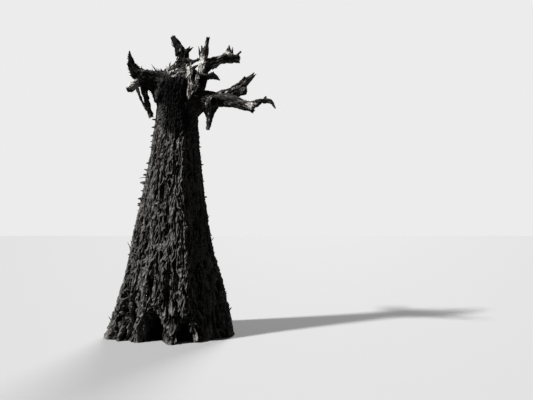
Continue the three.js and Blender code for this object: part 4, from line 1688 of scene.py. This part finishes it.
class QUIVER_OT_flakes(bpy.types.Operator):
    """Adds loose flakes to the trunk and the barked boughs, and knobs and thorns to the trunk's sides"""

    bl_idname = "quiver.flakes"
    bl_label = "Flakes, knobs and thorns"

    def execute(self, context):
        add_flakes(finish_of(BARK), context.scene.quiver_bark.flakes)
        add_side_growths("bark_knobs", KNOB, SIDE_KNOBS, finish_of(BARK))
        add_side_growths("bark_thorns", THORN, SIDE_THORNS, finish_of(BARK))
        barked = [limb for limb in limbs_of(LIMBS) if limb.shape.finish == BARK and limb.name not in HOLLOWS]
        add_bough_flakes(barked, finish_of(BARK), BOUGH_FLAKE_SPACING)
        return {"FINISHED"}


class QUIVER_OT_fringe(bpy.types.Operator):
    """Thatches the head of the trunk with torn fibres, and lays strands along the edge of its bark"""

    bl_idname = "quiver.fringe"
    bl_label = "Torn fibres"

    def execute(self, context):
        add_fringe(finish_of(WEATHERED), context.scene.quiver_wood.fibres)
        add_bark_edge(finish_of(WEATHERED), context.scene.quiver_wood.edge_strands)
        return {"FINISHED"}


class QUIVER_OT_splinters(bpy.types.Operator):
    """Adds splinters round the broken ends of the boughs"""

    bl_idname = "quiver.splinters"
    bl_label = "Splinters"

    def execute(self, context):
        spacing = context.scene.quiver_wood.splinter_spacing / MM
        add_splinters(limbs_of(LIMBS), finish_of(WEATHERED), spacing)
        return {"FINISHED"}


class QUIVER_OT_stage(bpy.types.Operator):
    """Sets up the floor, the backdrop, the lights and the camera"""

    bl_idname = "quiver.stage"
    bl_label = "Stage"

    def execute(self, context):
        look = context.scene.quiver_look
        light = context.scene.quiver_light
        add_floor(look.floor_colour)
        add_world(look.backdrop_colour, light.fill)
        add_sun("key", math.degrees(light.bearing), math.degrees(light.height), KEY_WIDTH, light.power)
        add_sun("back", *BACK_LIGHT)
        add_camera()
        context.scene.view_settings.view_transform = "Standard"
        return {"FINISHED"}


OPERATORS = (
    QUIVER_OT_trunk,
    QUIVER_OT_boughs,
    QUIVER_OT_torn_wood,
    QUIVER_OT_twigs,
    QUIVER_OT_flakes,
    QUIVER_OT_fringe,
    QUIVER_OT_splinters,
    QUIVER_OT_stage,
)
GROUPS = {
    "quiver_bark": QuiverBark,
    "quiver_wood": QuiverWood,
    "quiver_look": QuiverLook,
    "quiver_light": QuiverLight,
}


class QUIVER_PT_panel(bpy.types.Panel):
    """The settings, and a button for each group of pieces"""

    bl_label = "Quiver tree"
    bl_space_type = "VIEW_3D"
    bl_region_type = "UI"
    bl_category = "Quiver tree"

    def draw(self, context):
        for group, kind in GROUPS.items():
            box = self.layout.box()
            for name in kind.__annotations__:
                box.prop(getattr(context.scene, group), name)
        for operator in OPERATORS:
            self.layout.operator(operator.bl_idname)


def register():
    for kind in (*GROUPS.values(), *OPERATORS, QUIVER_PT_panel):
        bpy.utils.register_class(kind)
    for name, kind in GROUPS.items():
        setattr(bpy.types.Scene, name, PointerProperty(type=kind))


def unregister():
    for name in GROUPS:
        delattr(bpy.types.Scene, name)
    for kind in (QUIVER_PT_panel, *OPERATORS, *GROUPS.values()):
        bpy.utils.unregister_class(kind)


def main():
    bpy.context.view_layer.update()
    register()
    bpy.ops.quiver.trunk()
    bpy.ops.quiver.boughs()
    bpy.ops.quiver.torn_wood()
    bpy.ops.quiver.twigs()
    bpy.ops.quiver.flakes()
    bpy.ops.quiver.fringe()
    bpy.ops.quiver.splinters()
    bpy.ops.quiver.stage()


if __name__ == "__main__":
    main()
